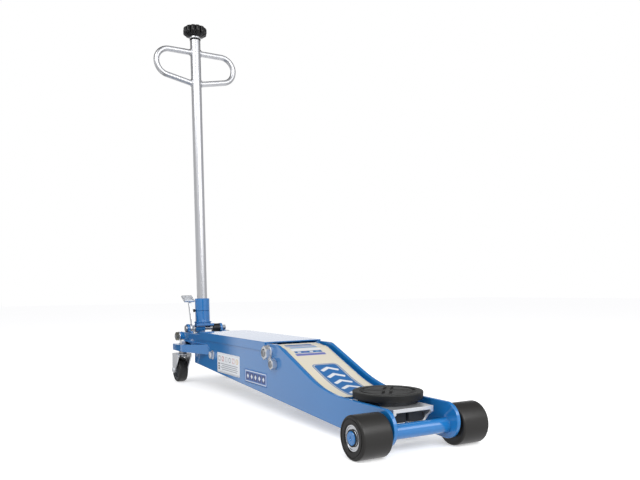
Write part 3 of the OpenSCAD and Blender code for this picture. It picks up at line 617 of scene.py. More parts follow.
def dress(node, bevel, material):
    # a merged copy of a CAD node with its edges broken by a bevel, standing for the node
    mesh = nodes[node].data.copy()
    mesh.name = node + "_shape"
    shell = bmesh.new()
    shell.from_mesh(mesh)
    flat, sharp = math.radians(dressSet["flat"]), math.radians(dressSet["sharp"])
    bmesh.ops.remove_doubles(shell, verts=shell.verts, dist=mergeSet["gap"])
    bmesh.ops.dissolve_degenerate(shell, edges=shell.edges, dist=dressSet["sliver"])
    bmesh.ops.dissolve_limit(shell, angle_limit=flat, verts=shell.verts, edges=shell.edges)
    shell.to_mesh(mesh)
    shell.free()
    piece = smoothed(node + "_piece", mesh, dressSet["sharp"])
    if bevel:
        edge = piece.modifiers.new("edges", "BEVEL")
        edge.width = bevel
        edge.segments = dressSet["steps"]
        edge.limit_method = "ANGLE"
        edge.angle_limit = sharp
        edge.use_clamp_overlap = False
        edge.harden_normals = True
    standFor(node, piece, material)


# front rollers, their bearings and the axle
rollerSet = {"sides": 144, "gap": 0.00008, "cut": (0.001, 0.0012), "shoulder": 0.008, "lean": 0.0008,
             "edge": 0.0045, "edgeIn": 0.0006, "groove": (0.0052, 0.0056, 0.0078, 0.0082),
             "grooveDeep": 0.0012, "grooveRounds": (0.0006, 0.0004, 0.0004, 0.0006), "core": 0.018,
             "coreStart": 0.015, "steps": 7}


def makeRoller(sideName, side):
    # profile round the axle: bore, inner face, rounded tread edges, outer face with a shallow ring groove
    s = rollerSet
    node, bearing = "roller_" + sideName, span("roller_bearings_" + sideName)
    low, high = span(node)
    radius, width = (high[2] - low[2]) / 2, high[1] - low[1]
    bore, sunk = (bearing[1] - bearing[0])[2] / 2 + s["gap"], width - s["grooveDeep"]
    edge, core, start, (cutOut, cutIn) = s["edge"], s["core"], s["coreStart"], s["cut"]
    groove = [(radius - away, y) for away, y in zip(s["groove"], (width, sunk, sunk, width))]
    outline = rounded((
        (bore, cutIn), (bore + cutOut, 0), (radius - s["shoulder"], 0), (radius, s["lean"]),
        (radius, width - s["edgeIn"]), *groove, (bore + cutOut, width), (bore, width - cutIn),
        (bore, width - start), (core, width - start), (core, start), (bore, start), (bore, cutIn)),
        (0, 0, edge, edge, *s["grooveRounds"], 0, 0, 0, 0, 0, 0), s["steps"])
    outline[:, 1] = side * (outline[:, 1] + (low[1] if side > 0 else -high[1]))
    standFor(node, revolved("roller_body_" + sideName, outline, axleCentre, count=s["sides"], closed=True))


bearingSet = {"outer": 0.0028, "inner": 0.0022, "shield": 0.0009, "chamfer": 0.0005, "bore": 0.01255,
              "width": 0.012}


def makeBearings(sideName, side):
    # outer ring, inner ring and a sunk shield between them, once for each end of the roller
    b = bearingSet
    node = "roller_bearings_" + sideName
    low, high = span(node)
    outer = (high[2] - low[2]) / 2
    outerIn, innerOut = outer - b["outer"], b["bore"] + b["inner"]
    near, far = sorted((abs(low[1]), abs(high[1])))
    rings = []
    for start in (near, far - b["width"]):
        end = start + b["width"]
        for inside, outside, sunk in ((outerIn, outer, 0), (b["bore"], innerOut, 0),
                                      (innerOut, outerIn, b["shield"])):
            profile = ringProfile(inside, outside, start + sunk, end - sunk, b["chamfer"])
            rings.append(revolved("ring", [(r, side * y) for r, y in profile], axleCentre, closed=True))
    standFor(node, joined("bearings_" + sideName, rings), finishes["bearing"])


for sideName, side in bothSides:
    makeRoller(sideName, side)
    makeBearings(sideName, side)

axleSet = {"tube": 0.014, "flare": 0.0055, "flareLength": 0.012, "journal": 0.01247, "chamfer": 0.0012,
           "plate": 0.008, "shoulder": 0.0117, "collar": 0.004, "drill": (0.0025, 0.004), "drillDeep": 0.0015,
           "rows": 161}


def makeAxle():
    # turned tube with a weld flare where it meets each plate, journals outside and chamfered ends
    a = axleSet
    end = span("front_axle")[1][1]
    inner = -span("side_plate_right")[0][1] - a["plate"]
    y = np.linspace(-inner, inner, a["rows"])
    fromPlate = np.clip((inner - np.abs(y)) / a["flareLength"], 0, 1)
    radius = a["tube"] + a["flare"] * (1 - np.sqrt(1 - (1 - fromPlate) ** 2 + 1e-9))
    body = np.stack((radius, y), 1)
    journal, cut, shoulder, sunk = a["journal"], a["chamfer"], inner + a["shoulder"], end - a["drillDeep"]
    collar, plate = journal + a["collar"], inner + a["plate"]
    right = [(0, sunk), (a["drill"][0], sunk), (a["drill"][1], end), (journal - cut, end),
             (journal, end - cut), (journal, shoulder), (collar, shoulder), (collar, plate),
             (a["tube"], plate), (a["tube"], inner)]
    left = [(r, -y) for r, y in right]
    profile = np.concatenate((left, body[1:-1], right[::-1]))
    standFor("front_axle", revolved("axle_body", profile, axleCentre))


makeAxle()
print("rollers and axle made")

# rubber pad: relief as a height over radius and angle
padSet = {"turn": -38.0, "rim": 0.0135, "gap": 0.0058, "rib": 0.0085, "ribGap": 0.0054, "deep": 0.0036,
          "sink": 0.0007, "crown": 0.00054, "rimLift": 0.0006, "edge": 0.0022, "edgeDrop": (0.0001, 0.0004),
          "foot": (0.0008, 0.003), "rounds": (0.0018, 0.0014, 0), "steps": 6, "soft": 0.0005, "rings": 180,
          "sides": 440}


def makePad():
    # top surface: rim, two crossing ribs and four petals stand; the gaps between them lie deeper
    s = padSet
    low, high = span("saddle_pad")
    centre, outer, base, top = (low + high) / 2, (high[0] - low[0]) / 2, low[2], high[2]
    angle = roundTurn(s["sides"])
    rr, aa = np.meshgrid(np.linspace(0, outer - s["edge"], s["rings"]), angle, indexing="ij")
    turned = aa - math.radians(s["turn"])
    near = np.minimum(np.abs(rr * np.cos(turned)), np.abs(rr * np.sin(turned)))

    def step(distance):
        t = np.clip(distance / s["soft"] * 0.5 + 0.5, 0, 1)
        return t * t * (3 - 2 * t)

    rim = step(rr - (outer - s["rim"]))
    rib = step(s["rib"] / 2 - near)
    petal = step(outer - s["rim"] - s["gap"] - rr) * step(near - s["rib"] / 2 - s["ribGap"])
    raised = (s["deep"] - s["sink"]) * np.maximum(np.maximum(rim, rib), petal)
    height = top - s["deep"] + raised + s["crown"] * (1 - (rr / outer) ** 2)
    height = np.minimum(height + s["rimLift"] * rim, top)
    disc = np.stack((centre[0] + rr * np.cos(aa), centre[1] + rr * np.sin(aa), height), -1)
    innerDrop, outerDrop = s["edgeDrop"]
    footUp, footIn = s["foot"]
    skirt = rounded(((outer - s["edge"], top - innerDrop), (outer, top - outerDrop),
                     (outer - footUp, base + footUp), (outer - footIn, base), (0, base)),
                    s["rounds"], s["steps"])
    reach, level = skirt[:, :1], skirt[:, 1:]
    skirt = np.stack(np.broadcast_arrays(centre[0] + reach * np.cos(angle),
                                         centre[1] + reach * np.sin(angle), level), -1)
    standFor("saddle_pad", gridPiece("pad_body", np.concatenate((disc, skirt)), smooth=70))


# painted shade in the pad's grooves: start and end of its fade over height, and its tone
grooveShadeSet = {"start": 0.0008, "end": 0.0012, "tone": (8, 8, 8)}


def shadeGrooves():
    # painted shade: rubber is darker below the tread level, in the grooves: a mask over height, from the grooves up to
    # the ribs
    material = finishes["pad_rubber"]
    tree = material.node_tree
    top = float(span("saddle_pad")[1][2])
    place = addNode(tree, "SeparateXYZ", {0: addNode(tree, "TexCoord").outputs["Object"]})
    share = between(tree, place.outputs[2], top - padSet["deep"] + grooveShadeSet["start"], top - grooveShadeSet["end"],
                    1.0, 0.0)
    layTone(material, share, grooveShadeSet["tone"])


makePad()
shadeGrooves()
print("pad made")

# handle: its own line leans back from the pivot
handleLean = math.radians(1.5)
handleUp = np.array((-math.sin(handleLean), 0, math.cos(handleLean)))
handleAhead = np.array((math.cos(handleLean), 0, math.sin(handleLean)))
handleAcross = np.array((0, 1.0, 0))
handlePivot = middle("handle_shaft") * (1, 0, 1)
alongHandle = np.stack((handleAhead, handleAcross, handleUp))

tubeSet = {"radius": 0.01685, "wall": 0.0026, "foot": 0.0196, "top": 0.962, "rows": 60, "sides": 72,
           "rim": (0.0012, 0.001), "rounds": (0.0009, 0.0006), "steps": 4}


def makeTube():
    # plain tube with a rounded rim at its top
    r, top, foot, rows = (tubeSet[k] for k in ("radius", "top", "foot", "rows"))
    inner, (outerDown, innerDown) = r - tubeSet["wall"], tubeSet["rim"]
    outside = np.stack((np.full(rows, r), np.linspace(foot, top - outerDown, rows)), 1)
    rim = rounded(((r, top - outerDown), (r, top), (inner, top), (inner, top - innerDown)),
                  tubeSet["rounds"], tubeSet["steps"])
    profile = np.concatenate((outside, rim, ((inner, foot),)))
    tube = revolved("tube_body", profile, handlePivot, alongHandle, tubeSet["sides"], True)
    standFor("handle_tube", tube, finishes["handle_zinc"])


makeTube()

# root: how far from the handle's line a bar starts, inside the tube
gripSet = {"bar": 0.009, "inset": 0.00005, "root": 0.012, "level": 0.921, "arcY": 0.090, "arcS": 0.878,
           "arc": 0.043, "slope": 11.6, "rows": 40, "straight": 20, "sides": 32}
beadSet = {"radius": 0.0024, "ripple": 0.16, "ripples": 11, "barOut": 0.0006, "tubeOut": 0.0004,
           "lower": 0.005, "rows": 73, "sides": 12}


def makeGrip(sideName, side):
    # level bar out from the tube, a round end, and a bar that slopes back down to the tube
    g = gripSet
    slope = math.radians(g["slope"])
    turn = np.linspace(math.pi / 2, -math.pi / 2 + slope, g["rows"])
    arc = np.stack((g["arcY"] + g["arc"] * np.cos(turn), g["arcS"] + g["arc"] * np.sin(turn)), 1)
    share = np.linspace(0, 1, g["straight"], endpoint=False)[:, None]
    start = np.array((g["root"], g["level"]))
    end = arc[-1] - (arc[-1, 0] - g["root"]) * np.array((1, math.tan(slope)))
    back = arc[-1] + (end - arc[-1]) * (share + 1 / g["straight"])
    flat = np.concatenate((start + (arc[0] - start) * share, arc, back))
    path = handlePivot + flat[:, :1] * side * handleAcross + flat[:, 1:] * handleUp
    loop = swept("grip_body_" + sideName, path, g["bar"] - g["inset"], handleAhead, g["sides"])
    standFor("grip_" + sideName, loop, finishes["handle_zinc"])
    makeBead(sideName + "_upper", side, g["level"], 0)
    makeBead(sideName + "_lower", side, end[1] + beadSet["lower"] * math.tan(slope), slope)


def makeBead(name, side, level, tilt):
    # weld bead: the line where the bar's surface meets the tube's, both as circles round their own axes
    b = beadSet
    turn = np.linspace(0, 2 * math.pi, b["rows"])
    bar = gripSet["bar"] + b["barOut"]
    ahead, up = bar * np.sin(turn), bar * np.cos(turn)
    out = np.sqrt(np.maximum((tubeSet["radius"] + b["tubeOut"]) ** 2 - ahead ** 2, 0)) * side
    rise = level + up / math.cos(tilt) + (np.abs(out) - gripSet["root"]) * math.tan(tilt)
    path = handlePivot + out[:, None] * handleAcross + ahead[:, None] * handleAhead + rise[:, None] * handleUp
    outward = handleAcross * side
    bead = closedBead("grip_weld_" + name, path, np.cross(directions(path), outward), outward, turn, b)
    seat(bead, "handle", "zinc", finishes["handle_zinc"])


for sideName, side in bothSides:
    makeGrip(sideName, side)

# levels: height, share of the full radius, and how much of the lobes shows there
knobSet = {"foot": 0.9728, "height": 0.0348, "core": 0.0315, "lobes": 12, "lobe": 0.0075, "valley": 0.0014,
           "sides": 360, "levels": (
               (0, 0, 0), (0, 0.5, 0), (0.0006, 0.54, 0), (0.003, 0.66, 0.3), (0.0062, 0.85, 0.8),
               (0.0088, 0.955, 1), (0.0108, 0.99, 1), (0.013, 1, 1), (0.0235, 1, 1), (0.0262, 0.985, 1),
               (0.0285, 0.945, 1), (0.0302, 0.88, 0.9), (0.0314, 0.8, 0.55), (0.0322, 0.7, 0.2),
               (0.0326, 0.6, 0), (0.0326, 0.56, 0), (0.0318, 0.53, 0), (0.0316, 0.5, 0), (0.0322, 0.2, 0),
               (0.0344, 0, 0))}


def makeKnob():
    # reach of a lobe: its centre's distance times cosine plus the rest of its circle; else the core's
    k = knobSet
    angle = roundTurn(k["sides"])
    period = 2 * math.pi / k["lobes"]
    fromLobe = (angle + period / 2) % period - period / 2
    room = np.maximum(k["lobe"] ** 2 - (k["core"] * np.sin(fromLobe)) ** 2, 0)
    lobed = np.where(room > 0, k["core"] * np.cos(fromLobe) + np.sqrt(room), 0)
    lobed = np.maximum(lobed, k["core"] - k["valley"])
    full = k["core"] + k["lobe"]
    level, share, spread = np.array(k["levels"]).T
    radii = share[:, None] * (full * (1 - spread[:, None]) + lobed[None] * spread[:, None])
    level = k["foot"] + level * k["height"] / level[-1]
    around = circle(angle, handleAhead, handleAcross)
    points = handlePivot + level[:, None, None] * handleUp + radii[..., None] * around
    standFor("release_knob", gridPiece("knob_body", points, smooth=40))


# collar and seal: points of radius and level, up from the tube's top and then up from the knob's foot
stemSet = {
    "collar": {"fromTube": ((0.006, 0.0046), (0.0176, 0.0046), (0.0185, 0.007)),
               "fromKnob": ((0.0185, -0.001), (0.017, 0.0004), (0.006, 0.0004)),
               "rounds": (0.0006, 0.0012, 0.0008, 0.0004), "steps": 5, "finish": "ram_chrome"},
    "seal": {"fromTube": ((0.006, 0.0006), (0.0182, 0.0006), (0.0182, 0.0044), (0.006, 0.0044)),
             "fromKnob": (), "rounds": (0.0014, 0.0014), "steps": 6, "finish": "knob_black"},
}
rodSet = {"radius": 0.005, "foot": 0.0396, "top": 0.003, "cut": (0.0008, 0.001), "sides": 32}


def makeKnobStem():
    # bright collar, seal ring and release rod, each a profile round the handle's line
    for name, s in stemSet.items():
        outline = [(r, tubeSet["top"] + level) for r, level in s["fromTube"]]
        outline += [(r, knobSet["foot"] + level) for r, level in s["fromKnob"]]
        profile = rounded(outline, s["rounds"], s["steps"])
        ring = revolved("knob_" + name, profile, handlePivot, alongHandle, closed=True)
        seat(ring, "knob", "knob_black", finishes[s["finish"]])
    r, foot, top = rodSet["radius"], rodSet["foot"], knobSet["foot"] - rodSet["top"]
    cutIn, cutUp = rodSet["cut"]
    profile = ((0, foot), (r - cutIn, foot), (r, foot + cutUp), (r, top), (0, top))
    rod = revolved("knob_rod", profile, handlePivot, alongHandle, rodSet["sides"])
    seat(rod, "knob", "knob_black", finishes["steel"])


makeKnob()
makeKnobStem()
print("handle made")


# nuts, washers, bolts and shafts on both sides of the chassis
def outOf(side):
    # radial directions and an axis that points out of the given side
    return acrossY * np.array(((1,), (1,), (side,)))


fastenerSides = 64
fastenerSet = {
    "arm_nuts": {"flats": 0.030, "height": 0.011, "bore": 0.0100},
    "link_nuts": {"flats": 0.024, "height": 0.012, "bore": 0.0080},
    "bracket_nuts": {"flats": 0.024, "height": 0.009, "bore": 0.0080, "finish": "nut_olive"},
    "arm_washers": {"outer": 0.018, "height": 0.004, "bore": 0.0100},
    "bracket_washers": {"outer": 0.015, "height": 0.003, "bore": 0.0080, "finish": "zinc"},
}


def makeFasteners():
    for node, size in fastenerSet.items():
        x, _, z = middle(node)
        start = span(node)[1][1] - size["height"]
        both = []
        for side in (-1, 1):
            centre = (x, side * start, z)
            if "flats" in size:
                both.append(hexSolid(node, centre, size["flats"], size["height"], size["bore"], outOf(side)))
            else:
                profile = ringProfile(size["bore"], size["outer"], 0, size["height"])
                both.append(revolved(node, profile, centre, outOf(side), fastenerSides, True))
        standFor(node, joined(node + "_set", both), finishes.get(size.get("finish")))


# seat, head and shankEnd are distances in from the head's outer face
pumpBoltSet = {"shank": 0.006, "washer": 0.013, "seat": 0.010, "head": 0.0075, "flats": 0.019,
               "inner": 0.034, "shankEnd": 0.009, "shankSides": 48}


def makePumpBolts():
    # washer and hexagon head outside the plate, shank through it
    s = pumpBoltSet
    node = "pump_bolts"
    x, _, z = middle(node)
    reach = span(node)[1][1]
    head, end = reach - s["head"], reach - s["shankEnd"]
    washer = ringProfile(s["shank"], s["washer"], reach - s["seat"], head)
    shank = ((0, s["inner"]), (s["shank"], s["inner"]), (s["shank"], end), (0, end))
    both = []
    for side in (-1, 1):
        axes = outOf(side)
        both.append(revolved(node, washer, (x, 0, z), axes, fastenerSides, True))
        both.append(hexSolid(node, (x, side * head, z), s["flats"], s["head"], 0, axes))
        both.append(revolved(node, shank, (x, 0, z), axes, s["shankSides"]))
    standFor(node, joined("pump_bolt_set", both))


domedNutSet = {"height": 0.0155, "washer": 0.012, "washerBore": 0.008, "washerThick": 0.002,
               "flats": 0.0182, "hexagon": 0.0076, "bore": 0.007, "dome": 0.0088, "domeRise": 0.0095,
               "domeFoot": 0.006, "domeStart": 0.2, "domeRows": 12}


def makeDomedNuts():
    # washer, hexagon and a dome, radius times cosine and rise times sine, over each kingpin
    s = domedNutSet
    node = "kingpin_nuts"
    low, high = span(node)
    x, reach, foot = (low[0] + high[0]) / 2, high[1] - s["washer"], high[2] - s["height"]
    washer = ringProfile(s["washerBore"], s["washer"], 0, s["washerThick"])
    rise = np.linspace(s["domeStart"], math.pi / 2, s["domeRows"])
    dome = np.stack((s["dome"] * np.cos(rise), s["domeFoot"] + s["domeRise"] * np.sin(rise)), 1)
    dome = np.concatenate((((0, s["domeFoot"]),), dome))
    both = []
    for side in (-1, 1):
        centre = (x, side * reach, foot)
        onWasher = (x, side * reach, foot + s["washerThick"])
        both.append(revolved(node, washer, centre, uprightZ, fastenerSides, True))
        both.append(hexSolid(node, onWasher, s["flats"], s["hexagon"], s["bore"], uprightZ))
        both.append(revolved(node, dome, centre, uprightZ, fastenerSides))
    standFor(node, joined("kingpin_nut_set", both))


# sleeve: bore, outer radius, and its two ends along Y
shaftSet = {"arm": 0.00998, "armThread": 0.016, "armPitch": 0.0025, "stud": 0.00798, "studLength": 0.0284,
            "studThread": 0.013, "boltThread": 0.012, "rightBolt": 0.048, "leftBolt": 0.038,
            "sleeve": (0.008, 0.012, -0.067, -0.056)}


def makeShafts():
    # arm shaft, link studs and bracket bolts, each threaded where its nut runs
    s = shaftSet
    x, _, z = middle("arm_shaft")
    end = span("arm_shaft")[1][1]
    threads = ((-end, s["armThread"] - end), (end - s["armThread"], end))
    bar = threadedBar("arm_shaft_bar", (x, 0, z), -end, end, s["arm"], threads, s["armPitch"])
    standFor("arm_shaft", bar)
    x, _, z = middle("link_studs")
    end = span("link_studs")[1][1]
    studs = []
    for side in (-1, 1):
        y0, y1 = sorted((side * end, side * (end - s["studLength"])))
        thread = sorted((side * end, side * (end - s["studThread"])))
        studs.append(threadedBar("stud", (x, 0, z), y0, y1, s["stud"], (thread,)))
    standFor("link_studs", joined("link_stud_set", studs))
    x, _, z = middle("bracket_bolts")
    low, high = (corner[1] for corner in span("bracket_bolts"))
    thread = s["boltThread"]
    bolts = [threadedBar("bolt", (x, 0, z), low, low + s["rightBolt"], s["stud"], ((low, low + thread),)),
             threadedBar("bolt", (x, 0, z), high - s["leftBolt"], high, s["stud"], ((high - thread, high),)),
             revolved("bolt", ringProfile(*s["sleeve"]), (x, 0, z), acrossY, fastenerSides, True)]
    standFor("bracket_bolts", joined("bracket_bolt_set", bolts))


makeFasteners()
makePumpBolts()
makeDomedNuts()
makeShafts()
print("fasteners made")

# caster wheels: moulded tyre and a webbed hub
casterSet = {"wall": 0.009, "corner": 0.0055, "crown": 0.0006, "crownRows": 17, "bore": 0.0061,
             "hub": 0.012, "web": 0.004, "rimDeep": 0.004, "rimIn": 0.002,
             "rounds": (0.0008, 0.0015, 0.0015, 0.0006, 0.0006), "sides": 120, "steps": (8, 4)}


def makeCaster(sideName):
    # tyre: rounded shoulders and a crown that falls off as the square; hub: boss, thin web and rim
    c = casterSet
    node, wheel = "caster_tyre_" + sideName, "caster_wheel_" + sideName
    low, high = span(node)
    centre, outer, half = (low + high) / 2, (high[2] - low[2]) / 2, (high[1] - low[1]) / 2
    inner, flat, corner = outer - c["wall"], outer - c["crown"], c["corner"]
    treadSteps, hubSteps = c["steps"]
    tread = rounded(((inner, -half), (flat, -half), (flat, half), (inner, half)), (corner, corner),
                    treadSteps)
    y = np.linspace(-half + corner, half - corner, c["crownRows"])
    crown = np.stack((flat + c["crown"] * (1 - (y / half) ** 2), y), 1)
    split = np.argmax(tread[:, 1] > 0)
    tread = np.concatenate((tread[:split], crown[1:-1], tread[split:]))
    tyre = revolved("tyre_" + sideName, tread, centre, count=c["sides"], closed=True)
    standFor(node, tyre, finishes["tyre_" + sideName])
    boss = (span(wheel)[1][1] - span(wheel)[0][1]) / 2
    rim, web, lip = half - c["rimIn"], c["web"], inner - c["rimDeep"]
    near = ((c["bore"], -boss), (c["hub"], -boss), (c["hub"], -web), (lip, -web), (lip, -rim), (inner, -rim))
    far = tuple((r, -y) for r, y in near[::-1])
    profile = rounded(near + far, c["rounds"] + c["rounds"][::-1], hubSteps)
    standFor(wheel, revolved("hub_" + sideName, profile, centre, closed=True))


for sideName, side in bothSides:
    makeCaster(sideName)
print("casters made")

# printed film on the arm and the two labels on the right plate
filmSet = {"half": 0.0575, "corner": 0.014, "lift": 0.00025, "hollow": 0.417, "shoulder": 0.068,
           "slope": 21.0, "shoulderX": -0.428, "drop": 0.006, "frontIn": 0.003, "rearIn": 0.001,
           "hub": 0.0176, "hubEnd": 110.0, "steps": (40, 20, 14), "behind": 0.1, "rows": 130, "cols": 25,
           "thick": 0.0002}
labelSet = {"big": (0.168, 0.057), "small": (0.138, 0.035), "corner": 0.002, "thick": 0.00035,
            "rows": 60, "cols": 9}
printSet = {"rough": 0.3, "spread": 0.06, "scale": 30.0, "bump": 0.02, "coat": 0.2}
inkSet = {"cream": (217, 210, 193), "line": (222, 213, 172), "blue": (40, 104, 166), "pale": (120, 162, 202),
          "lilac": (104, 112, 178), "white": (218, 221, 226), "paper": (236, 239, 243),
          "frame": (206, 212, 220), "inside": (234, 237, 241), "sign": (238, 240, 243),
          "grey": (150, 156, 164), "dark": (44, 46, 52), "red": (188, 84, 78), "amber": (214, 176, 92),
          "plate": (58, 116, 186), "edge": (226, 232, 240), "strip": (64, 112, 182), "deep": (30, 56, 120)}
# each row of marks has the inks, half a mark's width and height, its first place and the step to the next
filmBorder = (("line", 0.005, 0.010), ("cream", 0.0065, 0.009))     # ink, inset and corner
filmRows = (
    dict(inks=("blue",), place=(0, 0.094), half=(0.0335, 0.088), corner=0.012),
    dict(inks=("cream",), place=(0, 0.094), half=(0.0312, 0.0857), corner=0.010),
    dict(inks=("blue",), place=(0, 0.094), half=(0.0295, 0.084), corner=0.009),
    dict(inks=("white",) * 5, place=(-0.0098, 0.032), step=(0, 0.031), half=(0.0138, 0.0044),
         corner=0.0016, turns=(-32,)),
    dict(inks=("white",) * 5, place=(0.0098, 0.032), step=(0, 0.031), half=(0.0138, 0.0044),
         corner=0.0016, turns=(32,)),
    dict(inks=("lilac", "blue", "white", "pale", "lilac", "blue"), place=(-0.006, 0.23325),
         step=(0, 0.0135), half=(0.039, 0.0052), corner=0.0016, shorter=0.003),
    dict(inks=("white", "lilac", "white", "pale"), place=(-0.030, 0.247), step=(0.016, 0),
         half=(0.0045, 0.0026), corner=0.0008),
)
signRows = (
    dict(inks=("frame",), half=(0.081, 0.0255), corner=0.002),
    dict(inks=("inside",), half=(0.0802, 0.0247), corner=0.0016),
    dict(inks=("dark", "red", "grey", "grey", "red", "amber"), place=(-0.066, 0.012), step=(0.0262, 0),
         half=(0.0085, 0.0072), corner=0.0, rounder=0.0068),
    dict(inks=("sign",) * 6, place=(-0.066, 0.012), step=(0.0262, 0), half=(0.0055, 0.0042),
         corner=0.002, turns=(0, 45, 90)),
    dict(inks=("grey",) * 4, place=(0.006, -0.002), step=(0, -0.0052), half=(0.064, 0.0011),
         corner=0.0004, shift=0.004, shorter=0.008),
    dict(inks=("dark",) * 3, place=(-0.07, -0.003), step=(0, -0.0072), half=(0.005, 0.0024),
         corner=0.0008),
)
stripRows = (
    dict(inks=("edge",), half=(0.0645, 0.0145), corner=0.0012),
    dict(inks=("strip",), half=(0.0625, 0.0125), corner=0.001),
    dict(inks=("deep",) * 5, place=(-0.048, 0), step=(0.024, 0), half=(0.0105, 0.0098), corner=0.0006),
    dict(inks=("edge",) * 5, place=(-0.048, 0), step=(0.024, 0), half=(0.0046, 0.0046), corner=0.0006,
         turns=(45,)),
)


def cornerCut(along, corner):
    # how far a rounded corner draws the side in: radius less the height of its circle, by the nearer end
    toEnd = np.minimum(along, along[-1] - along)
    return corner - np.sqrt(np.maximum(corner ** 2 - np.maximum(corner - toEnd, 0) ** 2, 0))


def thicken(piece, thickness, outwards):
    wall = piece.modifiers.new("wall", "SOLIDIFY")
    wall.thickness = thickness
    wall.offset = 1.0 if outwards else -1.0


def markRow(inks, half, corner, place=(0, 0), step=(0, 0), turns=(0,), shift=0.0, shorter=0.0, rounder=0.0):
    # mark k lies k steps on from the first place; every second one may be shifted, shorter or rounder
    marks = []
    for k, ink in enumerate(inks):
        odd = k % 2
        centre = (place[0] + k * step[0] + odd * shift, place[1] + k * step[1])
        size = (half[0] - odd * shorter, half[1])
        marks.append((ink, centre, size, corner + odd * rounder, turns[k % len(turns)]))
    return marks


def printFinish(name, ground, rows, border=()):
    # printed film: each mark is a rounded panel on the UV map, laid over what came before
    material = finishOf(name, inkSet[ground], inkSet[ground], **printSet)
    marks = [*border, *(mark for row in rows for mark in markRow(**row))]
    for ink, centre, half, corner, turn in marks:
        panel = addNode(material.node_tree, "Group", node_tree=panelGroup, inputs={
            "Centre": (*centre, 0), "Half": (*half, 1), "Corner": corner, "Turn": math.radians(turn)})
        layTone(material, panel.outputs[0], inkSet[ink])
    return material


def makeFilm():
    # profile along the arm: level, hollow arc, slope, shoulder arc and the hub's round top, at even steps
    f = filmSet
    low, high = span("arm_top")
    level, top = low[2] + f["drop"], high[2]
    shoulder = np.array((axleX + f["shoulderX"], top))
    foot = np.array((shoulder[0] + (top - level) / math.tan(math.radians(f["slope"])), level))
    front, rear = np.array((high[0] - f["frontIn"], level)), np.array((low[0] + f["rearIn"], top))
    hub = middle("arm_shaft")[[0, 2]]
    reach = rear - hub
    touch = math.atan2(reach[1], reach[0]) + math.acos(f["hub"] / np.linalg.norm(reach))
    hollowSteps, shoulderSteps, hubSteps = f["steps"]
    over = np.linspace(touch, math.radians(f["hubEnd"]), hubSteps)
    behind = shoulder - (f["behind"], 0)
    line = np.concatenate((profileArc(front, foot, shoulder, f["hollow"], hollowSteps),
                           profileArc(foot, shoulder, behind, f["shoulder"], shoulderSteps)))
    line = np.concatenate((line[line[:, 0] < front[0]], rear[None],
                           hub + f["hub"] * np.stack((np.cos(over), np.sin(over)), 1)))
    steps = distanceAlong(line)
    length = steps[-1]
    along = np.linspace(0, length, f["rows"])
    x, z = np.interp(along, steps, line[:, 0]), np.interp(along, steps, line[:, 1])
    normal = np.stack((-np.gradient(z), np.gradient(x)), 1)
    normal /= -np.linalg.norm(normal, axis=1, keepdims=True)
    x, z = (x + normal[:, 0] * f["lift"])[:, None], (z + normal[:, 1] * f["lift"])[:, None]
    across = np.linspace(-1, 1, f["cols"])[None] * (f["half"] - cornerCut(along, f["corner"]))[:, None]
    points = np.stack(np.broadcast_arrays(x, across, z), -1)
    uv = np.stack(np.broadcast_arrays(across, along[:, None]), -1)
    film = gridPiece("arm_film", points, wrapCols=False, uv=uv)
    thicken(film, f["thick"], film.data.polygons[0].normal.z > 0)
    border = [(ink, (0, length / 2), (f["half"] - inset, length / 2 - inset), corner, 0)
              for ink, inset, corner in filmBorder]
    seat(film, "lift_arm", "arm_cream", printFinish("film_print", "cream", filmRows, border))


def makeLabel(name, x0, z0, size, y, material, *replaced):
    # a flat grid with rounded corners on the right plate, given its thickness
    width, height = size
    along = np.linspace(0, width, labelSet["rows"])
    reach = height / 2 - cornerCut(along, labelSet["corner"])
    up = np.linspace(-1, 1, labelSet["cols"])[None] * reach[:, None]
    x = np.broadcast_to(x0 + along[:, None], up.shape)
    points = np.stack((x, np.full(up.shape, y), z0 + height / 2 + up), -1)
    uv = np.stack((x - x0 - width / 2, up), -1)
    label = gridPiece(name, points, wrapCols=False, uv=uv)
    thicken(label, labelSet["thick"], label.data.polygons[0].normal.y >= 0)
    seat(label, "chassis", "label_white", material, *replaced)


def makeLabels():
    # plain signs and lines on the big label, a row of diamonds on the small one
    low, high = span("labels")
    big, small, y = labelSet["big"], labelSet["small"], low[1] + labelSet["thick"]
    signs = printFinish("label_rows_print", "paper", signRows)
    makeLabel("label_rows", low[0], high[2] - big[1], big, y, signs, "labels")
    strip = printFinish("label_plate_print", "plate", stripRows)
    makeLabel("label_plate", high[0] - small[0], low[2], small, y, strip)


makeFilm()
makeLabels()
print("film and labels made")

# the rest keeps its CAD shape, with broken edges
plainBevel = 0.0005
bevelOf = {"side_plate_right": 0.0016, "side_plate_left": 0.0016, "top_cover": 0.0009,
           "outrigger_right": 0.0012, "outrigger_left": 0.0012, "handle_bracket": 0.0009,
           "handle_foot": 0.0008, "saddle_bracket": 0.0007, "pump_body": 0.0016, "ram": 0.0012,
           "arm_cheeks": 0.0007, "arm_top": 0.0006, "saddle_circlip": 0.0002, "axle_circlips": 0.0002,
           "arm_tip_pin": 0.0004, "cross_tube": 0.0, "arm_tie_tube": 0.0}
finishFor = {"handle_shaft": "steel"}
madeHere = {node for node, part in nodes.items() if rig.alive(part) and part.hide_render}


def dressRest():
    for node in nodes:
        if node not in madeHere:
            dress(node, bevelOf.get(node, plainBevel), finishes.get(finishFor.get(node)))


dressRest()
print("CAD nodes dressed")

# welds on the chassis and the handle foot, and the socket's set screw
weldSet = {"radius": 0.0026, "ripple": 0.22, "pitch": 0.0032, "perRipple": 5, "fewest": 20, "sides": 14,
           "knee": 0.034, "shelf": 0.008, "rearIn": 0.004, "frontIn": 0.002, "topIn": 0.0003}
frontWeldSet = {"back": 0.001, "foot": 0.002, "top": 0.001}
socketWeldSet = {"along": 0.0204, "ring": 0.0272, "radius": 0.0019, "ripple": 0.18, "ripples": 20,
                 "rows": 181, "sides": 12}


